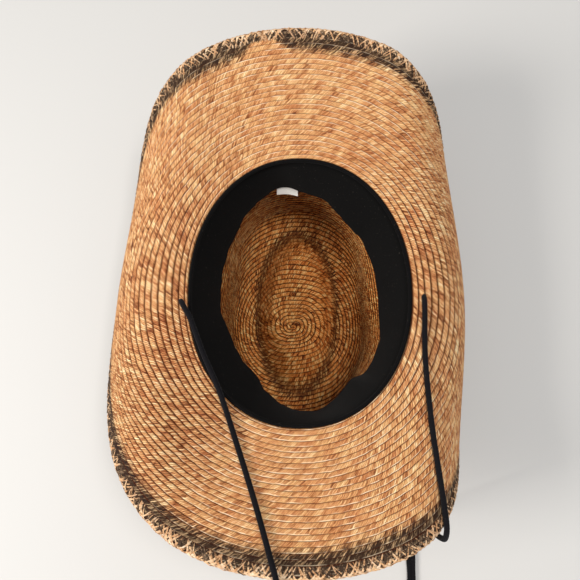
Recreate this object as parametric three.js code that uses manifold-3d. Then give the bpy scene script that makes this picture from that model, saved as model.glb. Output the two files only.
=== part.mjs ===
// Straw cowboy hat, lying on its crown with the underside of the brim up.
// Millimetres, +Z up. The head opening faces +Z, the back of the hat is +Y and its front is -Y.
// Every piece is drawn about the head's axis at first, and the finished hat is then moved so that
// the origin is the middle of its outline, on the surface that the crown rests on.

import * as THREE from 'three';
import { mergeVertices } from 'three/addons/utils/BufferGeometryUtils.js';
import Module from 'manifold-3d';

// Straw and clearances
const STRAW_WALL = 2.0;
const SEAT_GAP = 0.3;

// Head opening, where the brim meets the crown
const HEAD_HALF_WIDTH = 87;
const HEAD_HALF_LENGTH = 105;
const HEAD_SQUARENESS = 2.1;

// Crown
const CROWN_HEIGHT = 120;
const TIP_MIDDLE_X = -5.5;
const TIP_MIDDLE_Y = -16;
const CREASE_DEPTH = 28;
const CREASE_HALF_WIDTH = 43;
const CREASE_HALF_LENGTH = 88;
const CREASE_MIDDLE_X = -1;
const CREASE_MIDDLE_Y = 3;
const CREASE_FLOOR_SHARE = 0.45;
const CREASE_LIP_SHARE = 0.93;
const RIDGE_WIDTH = 3.5;
const BACK_RIDGE_WIDTH = 3.5;
const FRONT_RIDGE_WIDTH = 6;
const SIDE_SHOULDER_RADIUS = 20;
const BACK_SHOULDER_RADIUS = 11;
const FRONT_SHOULDER_RADIUS = 13;
const DENT_REACH = 22;
const BEARING_FLAT = 0.6;

// Brim, as flat widths from the head opening before it is rolled
const BRIM_SIDE_WIDTH = 99;
const BRIM_FRONT_WIDTH = 97;
const BRIM_BACK_WIDTH = 100;
const EDGE_SQUARENESS = 2.1;
const FRONT_DIP = 24;
const BACK_DIP = 32;
const RIGHT_ROLL_RADIUS = 46;
const LEFT_ROLL_RADIUS = 60;

// Laced edge, folded over the brim's rim
const LACE_DEPTH = 6.5;
const LACE_WALL = 1.3;

// Sweatband, its welt and its size tag
const BAND_DEPTH = 36;
const BAND_WALL = 1.2;
const WELT_RADIUS = 1.5;
const WELT_SINK = 0.6;
const TAG_WIDTH = 18;
const TAG_LENGTH = 26;
const TAG_WALL = 0.6;
const TAG_MIDDLE_X = -10;
const TAG_LEAN = 4.5;
const TAG_SHOWN = 10;

// Chin cord
const CORD_RADIUS = 2.0;
const CORD_SIDES = 8;
const CORD_HOLE_PLAY = 0.4;
const KNOT_RADIUS = 4.6;
const KNOT_SIDES = 10;
const KNOT_RINGS = 6;

// Mesh steps
const STEPS_AROUND = 72;
const BRIM_STEPS = 11;
const BAND_STEPS = 2;
const WELT_SIDES = 6;
const HOLE_SIDES = 10;

// Small steps that surfaces are felt with, as shares or radians, and the distance that joins corners
const SLOPE_STEP = 1e-3;
const OUTWARD_STEP = 0.01;
const TIP_SHARE = 1e-4;
const JOIN_DISTANCE = 1e-4;

// The search for the turn at which the crown's shoulder runs straight into its wall
const WIDEST_TURN = Math.PI * 0.6;
const TURN_HALVINGS = 40;

// How far the inside of the crown is looked for from its axis, as a share of the outer face's reach
const INWARD_SHARE = 0.2;

// Places across the size tag, as shares of its width from its middle
const TAG_PLACES = [-0.5, -0.25, 0, 0.25, 0.5];


const STRAW_COLOUR = 0xd2a268;
const STRAW_INSIDE_COLOUR = 0x96602f;
const LACE_COLOUR = 0xb08a55;
const BAND_COLOUR = 0x1a1817;
const TAG_COLOUR = 0xe8dfcc;
const CORD_COLOUR = 0x17151a;

// Where the brim starts to roll, as shares of the head opening's half width.
// along runs from the front edge (-1) to the back edge (1).
const ROLL_STARTS = [
  { along: -1.0, right: 0.74, left: 0.80 },
  { along: -0.6, right: 0.90, left: 1.08 },
  { along: 0.0, right: 1.06, left: 1.10 },
  { along: 0.6, right: 0.91, left: 0.91 },
  { along: 1.0, right: 0.73, left: 0.86 },
];

// Shares of the way from the middle of the tip to the head opening at which the crown has a ring.
// Two of them lie on the flat back ridge.
const CROWN_RINGS = [0.06, 0.12, 0.18, 0.24, 0.30, 0.365, 0.425, 0.455, 0.52, 0.62, 0.74, 0.87, 1];

// Dents in the crown's wall: depth as a share of the crease depth, along as a share of the head
// opening's half length, height and spread as shares of the crown's height.
const WALL_DENTS = [
  { side: 1, depth: 0.26, along: 0.08, height: 0.38, spread_along: 0.42, spread_height: 0.24 },
  { side: -1, depth: 0.26, along: 0.20, height: 0.38, spread_along: 0.42, spread_height: 0.24 },
  { side: 1, depth: 0.22, along: -0.62, height: 0.36, spread_along: 0.24, spread_height: 0.26 },
  { side: -1, depth: 0.34, along: -0.56, height: 0.36, spread_along: 0.26, spread_height: 0.26 },
];

// How far the sweatband's deep edge leans into the head opening, as a share of the band's depth,
// at angles counted anticlockwise from the right.
const BAND_LEANS = [
  { angle: 0, lean: 0.54 },
  { angle: 30, lean: 0.60 },
  { angle: 58, lean: 0.60 },
  { angle: 76, lean: 0.46 },
  { angle: 90, lean: 0.34 },
  { angle: 101, lean: 0.18 },
  { angle: 112, lean: 0.28 },
  { angle: 133, lean: 0.46 },
  { angle: 180, lean: 0.57 },
  { angle: 213, lean: 0.70 },
  { angle: 234, lean: 0.74 },
  { angle: 247, lean: 0.58 },
  { angle: 259, lean: 0.40 },
  { angle: 275, lean: 0.32 },
  { angle: 294, lean: 0.42 },
  { angle: 306, lean: 0.54 },
  { angle: 318, lean: 0.40 },
  { angle: 340, lean: 0.46 },
];

// The chin cord's route from the knot under the left hole to the knot under the right hole.
const CORD_POINTS = [
  [-93.4, -6.6, 116.4],
  [-90.0, -12.2, 122.0],
  [-84.4, -21.4, 124.0],
  [-72.2, -51.0, 125.2],
  [-60.2, -76.4, 127.0],
  [-45.6, -115.8, 130.6],
  [-31.9, -154.5, 136.8],
  [-18.6, -195.0, 146.6],
  [-16.2, -202.4, 147.9],
  [-14.4, -208.0, 144.8],
  [-13.5, -210.4, 138.0],
  [-13.2, -210.8, 125.0],
  [-12.8, -210.2, 16.0],
  [-11.4, -209.8, 6.6],
  [-6.6, -209.0, 2.8],
  [2.0, -208.2, 2.2],
  [36.0, -204.0, 2.1],
  [80.0, -202.6, 2.1],
  [92.0, -207.6, 2.1],
  [97.4, -219.0, 2.1],
  [97.6, -246.0, 2.1],
  [92.8, -268.0, 2.1],
  [95.2, -274.2, 2.1],
  [101.0, -276.6, 2.1],
  [106.8, -274.2, 2.1],
  [109.2, -268.0, 2.1],
  [102.4, -246.0, 2.1],
  [102.2, -215.0, 2.1],
  [101.8, -196.0, 2.2],
  [101.5, -187.4, 3.0],
  [101.3, -183.4, 7.0],
  [101.3, -182.4, 16.0],
  [101.6, -182.0, 112.0],
  [101.8, -180.0, 122.4],
  [101.6, -172.6, 129.0],
  [100.6, -158.0, 129.4],
  [95.4, -102.9, 126.7],
  [93.6, -52.0, 123.6],
  [95.4, -9.6, 122.2],
  [96.0, -2.8, 116.0],
];

const fullTurn = Math.PI * 2;
const outerHalfWidth = HEAD_HALF_WIDTH + STRAW_WALL;
const outerHalfLength = HEAD_HALF_LENGTH + STRAW_WALL;

/** Signed power, which turns a circle into a squarer oval. */
function signedPower(value, power) {
  return Math.sign(value) * Math.abs(value) ** power;
}

/** Unit oval of a given squareness at an angle. */
function ovalAt(angle, squareness) {
  const power = 2 / squareness;
  return { x: signedPower(Math.cos(angle), power), y: signedPower(Math.sin(angle), power) };
}

/** Smooth step from 0 to 1 between two limits. */
function smoothStep(low, high, value) {
  const share = Math.min(Math.max((value - low) / (high - low), 0), 1);
  return share * share * (3 - 2 * share);
}

/** Smooth cubic through the rows of a table. A table with a period closes on itself. */
function throughRows(rows, keyName, valueName, key, period = 0) {
  const last = rows.length - 1;
  const row = (index) => {
    if (!period) {
      const inside = Math.min(Math.max(index, 0), last);
      return [rows[inside][keyName], rows[inside][valueName]];
    }
    const wrapped = (index + rows.length) % rows.length;
    return [rows[wrapped][keyName] + period * Math.floor(index / rows.length), rows[wrapped][valueName]];
  };
  const end = period ? last : last - 1;
  let start = period ? -1 : 0;
  while (start < end && key >= row(start + 1)[0]) start += 1;
  const [before, from, to, after] = [row(start - 1), row(start), row(start + 1), row(start + 2)];
  const width = to[0] - from[0];
  const share = Math.min(Math.max((key - from[0]) / width, 0), 1);
  const slopeIn = (to[1] - before[1]) / (to[0] - before[0]) * width;
  const slopeOut = (after[1] - from[1]) / (after[0] - from[0]) * width;
  const square = share * share;
  const cube = square * share;
  return from[1] * (2 * cube - 3 * square + 1) + slopeIn * (cube - 2 * square + share)
    + to[1] * (3 * square - 2 * cube) + slopeOut * (cube - square);
}

/** How much higher than at the sides the straw stands at a place along the hat. */
function dipAt(y) {
  const dip = y > 0 ? BACK_DIP : FRONT_DIP;
  const reach = HEAD_HALF_LENGTH + (y > 0 ? BRIM_BACK_WIDTH : BRIM_FRONT_WIDTH);
  return dip * (y / reach) ** 2;
}

/** A point on the brim's underside, which faces up here: share 0 is the head opening, 1 the edge. */
function brimPoint(share, angle) {
  const squareness = HEAD_SQUARENESS + (EDGE_SQUARENESS - HEAD_SQUARENESS) * share;
  const oval = ovalAt(angle, squareness);
  const lengthwise = oval.y > 0 ? BRIM_BACK_WIDTH : BRIM_FRONT_WIDTH;
  const y = (HEAD_HALF_LENGTH + lengthwise * share) * oval.y;
  const across = Math.abs((HEAD_HALF_WIDTH + BRIM_SIDE_WIDTH * share) * oval.x);
  const right = oval.x > 0;
  const along = y / (HEAD_HALF_LENGTH + lengthwise);
  const start = HEAD_HALF_WIDTH * throughRows(ROLL_STARTS, 'along', right ? 'right' : 'left', along);
  const radius = right ? RIGHT_ROLL_RADIUS : LEFT_ROLL_RADIUS;
  const turn = Math.max(across - start, 0) / radius;
  const reach = across - turn * radius + radius * Math.sin(turn);
  const drop = radius * (1 - Math.cos(turn));
  return new THREE.Vector3(right ? reach : -reach, y, CROWN_HEIGHT + dipAt(y) - drop);
}

/** Unit normal of a surface given by a function of two numbers, on the side that towards points to. */
function normalOf(surface, first, second, towards) {
  const step = SLOPE_STEP;
  const along = surface(first + step, second).sub(surface(first - step, second));
  const across = surface(first, second + step).sub(surface(first, second - step));
  const normal = along.cross(across).normalize();
  return normal.dot(towards) < 0 ? normal.negate() : normal;
}

/** The brim's frame at its edge: the point, the way outward along the straw, and the face normal. */
function brimFrame(share, angle) {
  const point = brimPoint(share, angle);
  const inner = brimPoint(share - OUTWARD_STEP, angle);
  const outward = point.clone().sub(inner).normalize();
  const side = Math.sign(point.x || 1);
  const guess = new THREE.Vector3(-outward.z * side, 0, Math.abs(outward.x) + Math.abs(outward.y));
  const normal = normalOf(brimPoint, share, angle, guess);
  return { point, outward, normal };
}

/** The line of one side of the crown, from the tip's middle over the ridge and up to the opening. */
function wallLine(tipReach, ridgeReach, shoulder, rimReach, rimHeight) {
  let low = 0;
  let high = WIDEST_TURN;
  for (let count = 0; count < TURN_HALVINGS; count += 1) {
    const turn = (low + high) / 2;
    const rise = rimHeight - shoulder * (1 - Math.cos(turn));
    const run = rimReach - ridgeReach - shoulder * Math.sin(turn);
    if (run * Math.sin(turn) > rise * Math.cos(turn)) high = turn;
    else low = turn;
  }
  const arcReach = ridgeReach + shoulder * Math.sin(low);
  const arcHeight = shoulder * (1 - Math.cos(low));
  const flat = ridgeReach - tipReach;
  const arc = shoulder * low;
  const wall = Math.hypot(rimReach - arcReach, rimHeight - arcHeight);
  return (share) => {
    const way = share * (flat + arc + wall);
    if (way <= flat) return { reach: tipReach + way, height: 0 };
    if (way <= flat + arc) {
      const turn = (way - flat) / shoulder;
      return { reach: ridgeReach + shoulder * Math.sin(turn), height: shoulder * (1 - Math.cos(turn)) };
    }
    const rest = (way - flat - arc) / wall;
    return {
      reach: arcReach + (rimReach - arcReach) * rest,
      height: arcHeight + (rimHeight - arcHeight) * rest,
    };
  };
}

const rimDrop = STRAW_WALL + SEAT_GAP;
const sideRimHeight = CROWN_HEIGHT - rimDrop + BEARING_FLAT;
const sideRidge = CREASE_HALF_WIDTH + RIDGE_WIDTH;

/** The line of the crown's wall to the right, or to the left for a side of -1. */
function sideLine(side) {
  const ridgeReach = sideRidge + side * CREASE_MIDDLE_X;
  return wallLine(side * TIP_MIDDLE_X, ridgeReach, SIDE_SHOULDER_RADIUS, outerHalfWidth, sideRimHeight);
}

const crownLines = {
  right: sideLine(1),
  left: sideLine(-1),
  back: wallLine(
    TIP_MIDDLE_Y,
    CREASE_HALF_LENGTH + CREASE_MIDDLE_Y + BACK_RIDGE_WIDTH,
    BACK_SHOULDER_RADIUS,
    outerHalfLength,
    sideRimHeight + dipAt(HEAD_HALF_LENGTH),
  ),
  front: wallLine(
    -TIP_MIDDLE_Y,
    CREASE_HALF_LENGTH - CREASE_MIDDLE_Y + FRONT_RIDGE_WIDTH,
    FRONT_SHOULDER_RADIUS,
    outerHalfLength,
    sideRimHeight + dipAt(-HEAD_HALF_LENGTH),
  ),
};

/** How far the centre crease lifts the tip off the surface at a place. */
function creaseLift(x, y) {
  const across = Math.abs(x - CREASE_MIDDLE_X) / CREASE_HALF_WIDTH;
  const along = Math.abs(y - CREASE_MIDDLE_Y) / CREASE_HALF_LENGTH;
  const share = Math.hypot(across, along);
  return CREASE_DEPTH * (1 - smoothStep(CREASE_FLOOR_SHARE, CREASE_LIP_SHARE, share));
}

/** How far the wall dents push a point of the crown's wall towards the middle. */
function dentPush(x, y, z) {
  return WALL_DENTS.reduce((sum, dent) => {
    const along = (y - dent.along * HEAD_HALF_LENGTH) / (dent.spread_along * HEAD_HALF_LENGTH);
    const up = (z - dent.height * CROWN_HEIGHT) / (dent.spread_height * CROWN_HEIGHT);
    const side = smoothStep(0, DENT_REACH, x * dent.side);
    return sum - dent.side * side * dent.depth * CREASE_DEPTH * Math.exp(-along * along - up * up);
  }, 0);
}

/** A point on the crown's outer face, pressed flat where it bears: share 0 is the tip, 1 the opening. */
function crownPoint(share, angle) {
  const oval = ovalAt(angle, HEAD_SQUARENESS);
  const across = (oval.x > 0 ? crownLines.right : crownLines.left)(share);
  const along = (oval.y > 0 ? crownLines.back : crownLines.front)(share);
  const middleX = TIP_MIDDLE_X * (1 - share);
  const middleY = TIP_MIDDLE_Y * (1 - share);
  const x = middleX + (across.reach - Math.sign(oval.x) * middleX) * oval.x;
  const y = middleY + (along.reach - Math.sign(oval.y) * middleY) * oval.y;
  const lengthwise = oval.y * oval.y;
  const wall = across.height * (1 - lengthwise) + along.height * lengthwise;
  const lift = share < 1 ? creaseLift(x, y) : 0;
  return new THREE.Vector3(x + dentPush(x, y, wall), y, Math.max(wall + lift - BEARING_FLAT, 0));
}

/** Closed mesh geometry from a list of points and a list of triangles. */
function meshOf(points, triangles) {
  const geometry = new THREE.BufferGeometry();
  const places = points.flatMap((point) => [point.x, point.y, point.z]);
  geometry.setAttribute('position', new THREE.Float32BufferAttribute(places, 3));
  geometry.setIndex(triangles);
  geometry.computeVertexNormals();
  return geometry;
}

/** Joins equal rings of points in order, and the last ring to the first if the section is closed. */
function ringBands(ringCount, ringSize, closed) {
  const triangles = [];
  const bands = closed ? ringCount : ringCount - 1;
  for (let band = 0; band < bands; band += 1) {
    const near = band * ringSize;
    const far = ((band + 1) % ringCount) * ringSize;
    for (let step = 0; step < ringSize; step += 1) {
      const next = (step + 1) % ringSize;
      triangles.push(near + step, far + step, far + next, near + step, far + next, near + next);
    }
  }
  return triangles;
}

/** Turns a closed mesh right side out. */
function facingOut(geometry) {
  const place = geometry.getAttribute('position');
  const index = Array.from(geometry.getIndex().array);
  const corner = (at) => new THREE.Vector3().fromBufferAttribute(place, index[at]);
  let volume = 0;
  for (let at = 0; at < index.length; at += 3) {
    volume += corner(at).dot(corner(at + 1).cross(corner(at + 2)));
  }
  if (volume < 0) {
    for (let at = 0; at < index.length; at += 3) {
      [index[at + 1], index[at + 2]] = [index[at + 2], index[at + 1]];
    }
    geometry.setIndex(index);
    geometry.computeVertexNormals();
  }
  return geometry;
}

/** The angles of the steps around the hat. */
function stepAngles() {
  return Array.from({ length: STEPS_AROUND }, (_, step) => step * fullTurn / STEPS_AROUND);
}

/** Crown shell: outer rings from the tip to the rim, then inner rings back to the tip. */
function crownGeometry() {
  const angles = stepAngles();
  const outerTip = crownPoint(TIP_SHARE, 0);
  const rings = CROWN_RINGS.map((share) => angles.map((angle) => crownPoint(share, angle)));
  const innerRings = CROWN_RINGS.map((share) => angles.map((angle) => {
    const outer = crownPoint(share, angle);
    if (share === 1) {
      const oval = ovalAt(angle, HEAD_SQUARENESS);
      const y = HEAD_HALF_LENGTH * oval.y;
      return new THREE.Vector3(HEAD_HALF_WIDTH * oval.x, y, CROWN_HEIGHT + dipAt(y) - rimDrop);
    }
    const inward = new THREE.Vector3(-outer.x * INWARD_SHARE, -outer.y * INWARD_SHARE, CROWN_HEIGHT);
    const normal = normalOf(crownPoint, share, angle, inward);
    return outer.addScaledVector(normal, STRAW_WALL);
  }));
  const innerTip = outerTip.clone().setZ(outerTip.z + STRAW_WALL);
  const allRings = [...rings, ...innerRings.reverse()];
  const points = [...allRings.flat(), outerTip, innerTip];
  const triangles = ringBands(allRings.length, STEPS_AROUND, false);
  const lastRing = (allRings.length - 1) * STEPS_AROUND;
  for (let step = 0; step < STEPS_AROUND; step += 1) {
    const next = (step + 1) % STEPS_AROUND;
    triangles.push(points.length - 2, step, next);
    triangles.push(lastRing + step, points.length - 1, lastRing + next);
  }
  return facingOut(meshOf(points, triangles));
}

const rimShare = 1 - (LACE_WALL + SEAT_GAP) / BRIM_SIDE_WIDTH;
const laceShare = rimShare - LACE_DEPTH / BRIM_SIDE_WIDTH;

/** Brim sheet from the head opening to the rim that the lacing wraps. */
function brimGeometry() {
  const angles = stepAngles();
  const shares = Array.from({ length: BRIM_STEPS }, (_, step) => laceShare * step / (BRIM_STEPS - 1));
  shares.push(rimShare);
  const upper = shares.map((share) => angles.map((angle) => brimPoint(share, angle)));
  const lower = shares.map((share) => angles.map((angle) => {
    const { point, normal } = brimFrame(share, angle);
    return point.addScaledVector(normal, -STRAW_WALL);
  }));
  const rings = [...upper, ...lower.reverse()];
  return facingOut(meshOf(rings.flat(), ringBands(rings.length, STEPS_AROUND, true)));
}

/** Laced edge: a strip folded over the brim's rim, whose two legs follow the straw. */
function laceGeometry() {
  const inside = SEAT_GAP;
  const outside = SEAT_GAP + LACE_WALL;
  const section = [
    { share: laceShare, out: 0, up: inside },
    { share: rimShare, out: inside, up: inside },
    { share: rimShare, out: inside, up: -STRAW_WALL - inside },
    { share: laceShare, out: 0, up: -STRAW_WALL - inside },
    { share: laceShare, out: 0, up: -STRAW_WALL - outside },
    { share: rimShare, out: outside, up: -STRAW_WALL - outside },
    { share: rimShare, out: outside, up: outside },
    { share: laceShare, out: 0, up: outside },
  ];
  const rings = section.map(({ share, out, up }) => stepAngles().map((angle) => {
    const { point, outward, normal } = brimFrame(share, angle);
    return point.addScaledVector(outward, out).addScaledVector(normal, up);
  }));
  return facingOut(meshOf(rings.flat(), ringBands(rings.length, STEPS_AROUND, true)));
}

/** A place just inside the head opening, a distance in from its edge and below the straw's face. */
function openingPoint(angle, inset, below) {
  const oval = ovalAt(angle, HEAD_SQUARENESS);
  const y = HEAD_HALF_LENGTH * oval.y;
  return new THREE.Vector3(
    (HEAD_HALF_WIDTH - inset) * oval.x,
    (HEAD_HALF_LENGTH - inset) * oval.y,
    CROWN_HEIGHT + dipAt(y) - below,
  );
}

/** Welt: the round piping that covers the seam of the sweatband. */
function weltGeometry() {
  const inset = WELT_RADIUS + SEAT_GAP;
  const rings = Array.from({ length: WELT_SIDES }, (_, side) => {
    const turn = side * fullTurn / WELT_SIDES;
    return stepAngles().map((angle) => openingPoint(
      angle,
      inset + WELT_RADIUS * Math.cos(turn),
      WELT_SINK - WELT_RADIUS * Math.sin(turn),
    ));
  });
  return facingOut(meshOf(rings.flat(), ringBands(rings.length, STEPS_AROUND, true)));
}

const bandTop = WELT_SINK + WELT_RADIUS + SEAT_GAP;

/** How far the sweatband leans in at its deep edge. */
function bandLean(angle) {
  return BAND_DEPTH * throughRows(BAND_LEANS, 'angle', 'lean', angle * 360 / fullTurn, 360);
}

/** Sweatband: a strip that hangs from the welt and leans into the crown. */
function bandGeometry() {
  const angles = stepAngles();
  const face = (inset) => Array.from({ length: BAND_STEPS + 1 }, (_, step) => {
    const share = step / BAND_STEPS;
    return angles.map((angle) => openingPoint(
      angle,
      SEAT_GAP + inset + bandLean(angle) * share,
      bandTop + (BAND_DEPTH - bandTop) * share,
    ));
  });
  const rings = [...face(0), ...face(BAND_WALL).reverse()];
  return facingOut(meshOf(rings.flat(), ringBands(rings.length, STEPS_AROUND, true)));
}

/** The outermost place of the sweatband behind the size tag, a share of the way to its deep edge. */
function bandBack(share) {
  const places = TAG_PLACES.map((across) => {
    const x = (TAG_MIDDLE_X + across * TAG_WIDTH) / HEAD_HALF_WIDTH;
    const angle = Math.acos(signedPower(x, HEAD_SQUARENESS / 2));
    const depth = bandTop + (BAND_DEPTH - bandTop) * share;
    return openingPoint(angle, SEAT_GAP + bandLean(angle) * share, depth);
  });
  return places.reduce((best, place) => (place.y > best.y ? place : best));
}

/** Size tag: a bare woven label that hangs from behind the sweatband at the back seam. */
function tagGeometry() {
  const hidden = TAG_LENGTH - TAG_SHOWN;
  const drop = Math.sqrt(TAG_SHOWN ** 2 - TAG_LEAN ** 2);
  const edge = bandBack(1);
  const above = bandBack(1 - hidden / (BAND_DEPTH - bandTop));
  const away = SEAT_GAP + TAG_WALL / 2;
  const top = [above.y + away, above.z];
  const turn = [edge.y + away, edge.z - SEAT_GAP];
  const low = [turn[0] - TAG_LEAN, turn[1] - drop];
  const half = TAG_WALL / 2;
  const outline = new THREE.Shape([
    new THREE.Vector2(top[0] - half, top[1]),
    new THREE.Vector2(turn[0] - half, turn[1]),
    new THREE.Vector2(low[0] - half, low[1]),
    new THREE.Vector2(low[0] + half, low[1]),
    new THREE.Vector2(turn[0] + half, turn[1]),
    new THREE.Vector2(top[0] + half, top[1]),
  ]);
  const geometry = new THREE.ExtrudeGeometry(outline, { depth: TAG_WIDTH, bevelEnabled: false });
  geometry.rotateX(Math.PI / 2);
  geometry.rotateZ(Math.PI / 2);
  geometry.translate(TAG_MIDDLE_X - TAG_WIDTH / 2, 0, 0);
  return geometry;
}

/** The cord's route as a smooth curve with equal numbers of steps between its points. */
function cordRoute() {
  const points = CORD_POINTS.map(([x, y, z]) => new THREE.Vector3(x, y, z));
  const route = new THREE.CatmullRomCurve3(points);
  route.getUtoTmapping = (share) => share;
  return route;
}

/** A round section with a given number of sides. */
function roundSection(radius, sides) {
  return new THREE.Shape(Array.from({ length: sides }, (_, side) => {
    const turn = side * fullTurn / sides;
    return new THREE.Vector2(radius * Math.cos(turn), radius * Math.sin(turn));
  }));
}

/** Chin cord: one whole loop from the left hole over the brim and the surface to the right hole. */
function cordGeometry() {
  const steps = (CORD_POINTS.length - 1) * 2;
  const section = roundSection(CORD_RADIUS, CORD_SIDES);
  return new THREE.ExtrudeGeometry(section, { steps, extrudePath: cordRoute(), bevelEnabled: false });
}

/** A stopper knot on the cord under the brim. */
function knotGeometry() {
  return new THREE.SphereGeometry(KNOT_RADIUS, KNOT_SIDES, KNOT_RINGS);
}

const wasm = await Module();
wasm.setup();

/** A closed geometry as a solid that can be cut. */
function solidOf(geometry) {
  const bare = geometry.clone();
  bare.deleteAttribute('normal');
  if (bare.getAttribute('uv')) bare.deleteAttribute('uv');
  const merged = mergeVertices(bare, JOIN_DISTANCE);
  return new wasm.Manifold(new wasm.Mesh({
    numProp: 3,
    vertProperties: new Float32Array(merged.getAttribute('position').array),
    triVerts: new Uint32Array(merged.getIndex().array),
  }));
}

/** A cut solid as a geometry again. */
function geometryOf(solid) {
  const mesh = solid.getMesh();
  const geometry = new THREE.BufferGeometry();
  geometry.setAttribute('position', new THREE.Float32BufferAttribute(mesh.vertProperties, 3));
  geometry.setIndex(Array.from(mesh.triVerts));
  geometry.computeVertexNormals();
  return geometry;
}

/** Cuts the slanted hole that the cord passes through, in line with one end of the cord. */
function cutCordHole(geometry, endPoint, nextPoint) {
  const way = nextPoint.clone().sub(endPoint);
  const drill = new THREE.CylinderGeometry(
    CORD_RADIUS + CORD_HOLE_PLAY,
    CORD_RADIUS + CORD_HOLE_PLAY,
    way.length() * 2,
    HOLE_SIDES,
  );
  const upright = new THREE.Vector3(0, 1, 0);
  drill.applyQuaternion(new THREE.Quaternion().setFromUnitVectors(upright, way.clone().normalize()));
  const middle = endPoint.clone().addScaledVector(way, 0.5);
  drill.translate(middle.x, middle.y, middle.z);
  return geometryOf(solidOf(geometry).subtract(solidOf(drill)));
}

/** The middle of a knot that the cord's end runs into. */
function knotPlace(endPoint, nextPoint) {
  const back = endPoint.clone().sub(nextPoint).normalize();
  return endPoint.clone().addScaledVector(back, KNOT_RADIUS + SEAT_GAP);
}

const cordEnds = CORD_POINTS.map(([x, y, z]) => new THREE.Vector3(x, y, z));
const leftEnd = [cordEnds[0], cordEnds[1]];
const rightEnd = [cordEnds.at(-1), cordEnds.at(-2)];
const leftKnot = knotPlace(...leftEnd);
const rightKnot = knotPlace(...rightEnd);
const brimSheet = cutCordHole(cutCordHole(brimGeometry(), ...leftEnd), ...rightEnd);

const straw = { color: STRAW_COLOUR, roughness: 0.7, metalness: 0 };
const cordLook = { color: CORD_COLOUR, roughness: 0.8 };
const pieces = [
  { name: 'crown', geometry: crownGeometry(), look: { ...straw, color: STRAW_INSIDE_COLOUR } },
  { name: 'brim', geometry: brimSheet, look: straw },
  { name: 'edge_braid', geometry: laceGeometry(), look: { ...straw, color: LACE_COLOUR } },
  { name: 'sweatband', geometry: bandGeometry(), look: { color: BAND_COLOUR, roughness: 0.9 } },
  { name: 'sweatband_welt', geometry: weltGeometry(), look: { color: BAND_COLOUR, roughness: 0.85 } },
  { name: 'size_tag', geometry: tagGeometry(), look: { color: TAG_COLOUR, roughness: 0.8 } },
  { name: 'chin_cord', geometry: cordGeometry(), look: cordLook },
  { name: 'cord_knot_left', geometry: knotGeometry(), look: cordLook, place: leftKnot },
  { name: 'cord_knot_right', geometry: knotGeometry(), look: cordLook, place: rightKnot },
];

const hat = new THREE.Group();
const cord = new THREE.Group();
for (const { name, geometry, look, place } of pieces) {
  const mesh = new THREE.Mesh(geometry, new THREE.MeshStandardMaterial(look));
  mesh.name = name;
  if (place) mesh.position.copy(place);
  (name === 'chin_cord' ? cord : hat).add(mesh);
}

const outline = new THREE.Box3().setFromObject(hat);
const middle = outline.getCenter(new THREE.Vector3());
const part = new THREE.Group();
part.add(hat, cord);
part.position.set(-middle.x, -middle.y, -outline.min.z);

export default part;
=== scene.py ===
"""Straw cowboy hat lying on its crown: sewn braid, laced edge, cloth band and chin cord."""

import logging
import math
from collections.abc import Callable
from dataclasses import dataclass, replace
from enum import Enum
from typing import NamedTuple

import bmesh
import bpy
import numpy as np
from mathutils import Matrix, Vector


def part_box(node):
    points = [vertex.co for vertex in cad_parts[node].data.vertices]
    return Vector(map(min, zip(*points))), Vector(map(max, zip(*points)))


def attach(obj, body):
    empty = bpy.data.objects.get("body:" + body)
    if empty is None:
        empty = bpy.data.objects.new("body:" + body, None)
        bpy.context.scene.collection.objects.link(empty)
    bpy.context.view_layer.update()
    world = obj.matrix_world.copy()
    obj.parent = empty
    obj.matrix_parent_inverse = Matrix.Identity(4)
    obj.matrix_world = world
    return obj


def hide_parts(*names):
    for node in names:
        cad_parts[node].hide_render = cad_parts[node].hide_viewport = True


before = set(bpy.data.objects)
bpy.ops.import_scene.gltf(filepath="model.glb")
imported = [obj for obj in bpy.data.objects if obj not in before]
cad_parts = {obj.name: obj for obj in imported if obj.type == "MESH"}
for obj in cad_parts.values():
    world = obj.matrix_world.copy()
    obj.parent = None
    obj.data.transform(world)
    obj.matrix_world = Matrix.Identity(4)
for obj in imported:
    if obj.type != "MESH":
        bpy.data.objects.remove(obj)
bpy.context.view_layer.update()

FULL_TURN = 2 * math.pi
DEGREES_ROUND = 360
MILLIMETRES = 1000.0
STRAW_LAYERS = ("rows", "edge")
CLOTH_LAYERS = ("weave",)
log = logging.getLogger("hat")

Colour = tuple[float, float, float, float]
Limits = tuple[float, float]
Bump = tuple[float, float]
Node = bpy.types.Node
Socket = bpy.types.NodeSocket
# What a socket can be fed with: another socket, a value, or nothing.
Feed = Socket | float | Colour | None
# A surface gives its points at shares of the way outward and angles around the head.
Surface = Callable[[np.ndarray, np.ndarray], np.ndarray]
# A lift gives the finished points from a surface's points, normals and the heights above it.
Lift = Callable[[np.ndarray, np.ndarray, np.ndarray], np.ndarray]


class RollStart(NamedTuple):
    """Where the brim starts to roll, as shares of the head opening's half width.

    along runs from the front edge (-1) to the back edge (1).
    """

    along: float
    right: float
    left: float


class WallDent(NamedTuple):
    """A dent in the crown's wall, in shares of the crease depth, the half length and the crown height."""

    side: int
    depth: float
    along: float
    height: float
    spread_along: float
    spread_height: float


class BandLean(NamedTuple):
    """How far the band's deep edge leans in at an angle in degrees, as a share of its depth."""

    angle: float
    lean: float


class Scorch(NamedTuple):
    """How far in metres the scorched edge reaches in from the rim at an angle in degrees."""

    angle: float
    reach: float


class Wave(NamedTuple):
    """A wave around the head: how many there are in a turn, where they start, their size and slant."""

    turns: int
    phase: float
    size: float
    slant: float


class RowSection(NamedTuple):
    """A straw row's section: places across the row, and how far each stands up as a share of its rise."""

    across: tuple[float, ...]
    relief: tuple[float, ...]


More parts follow.
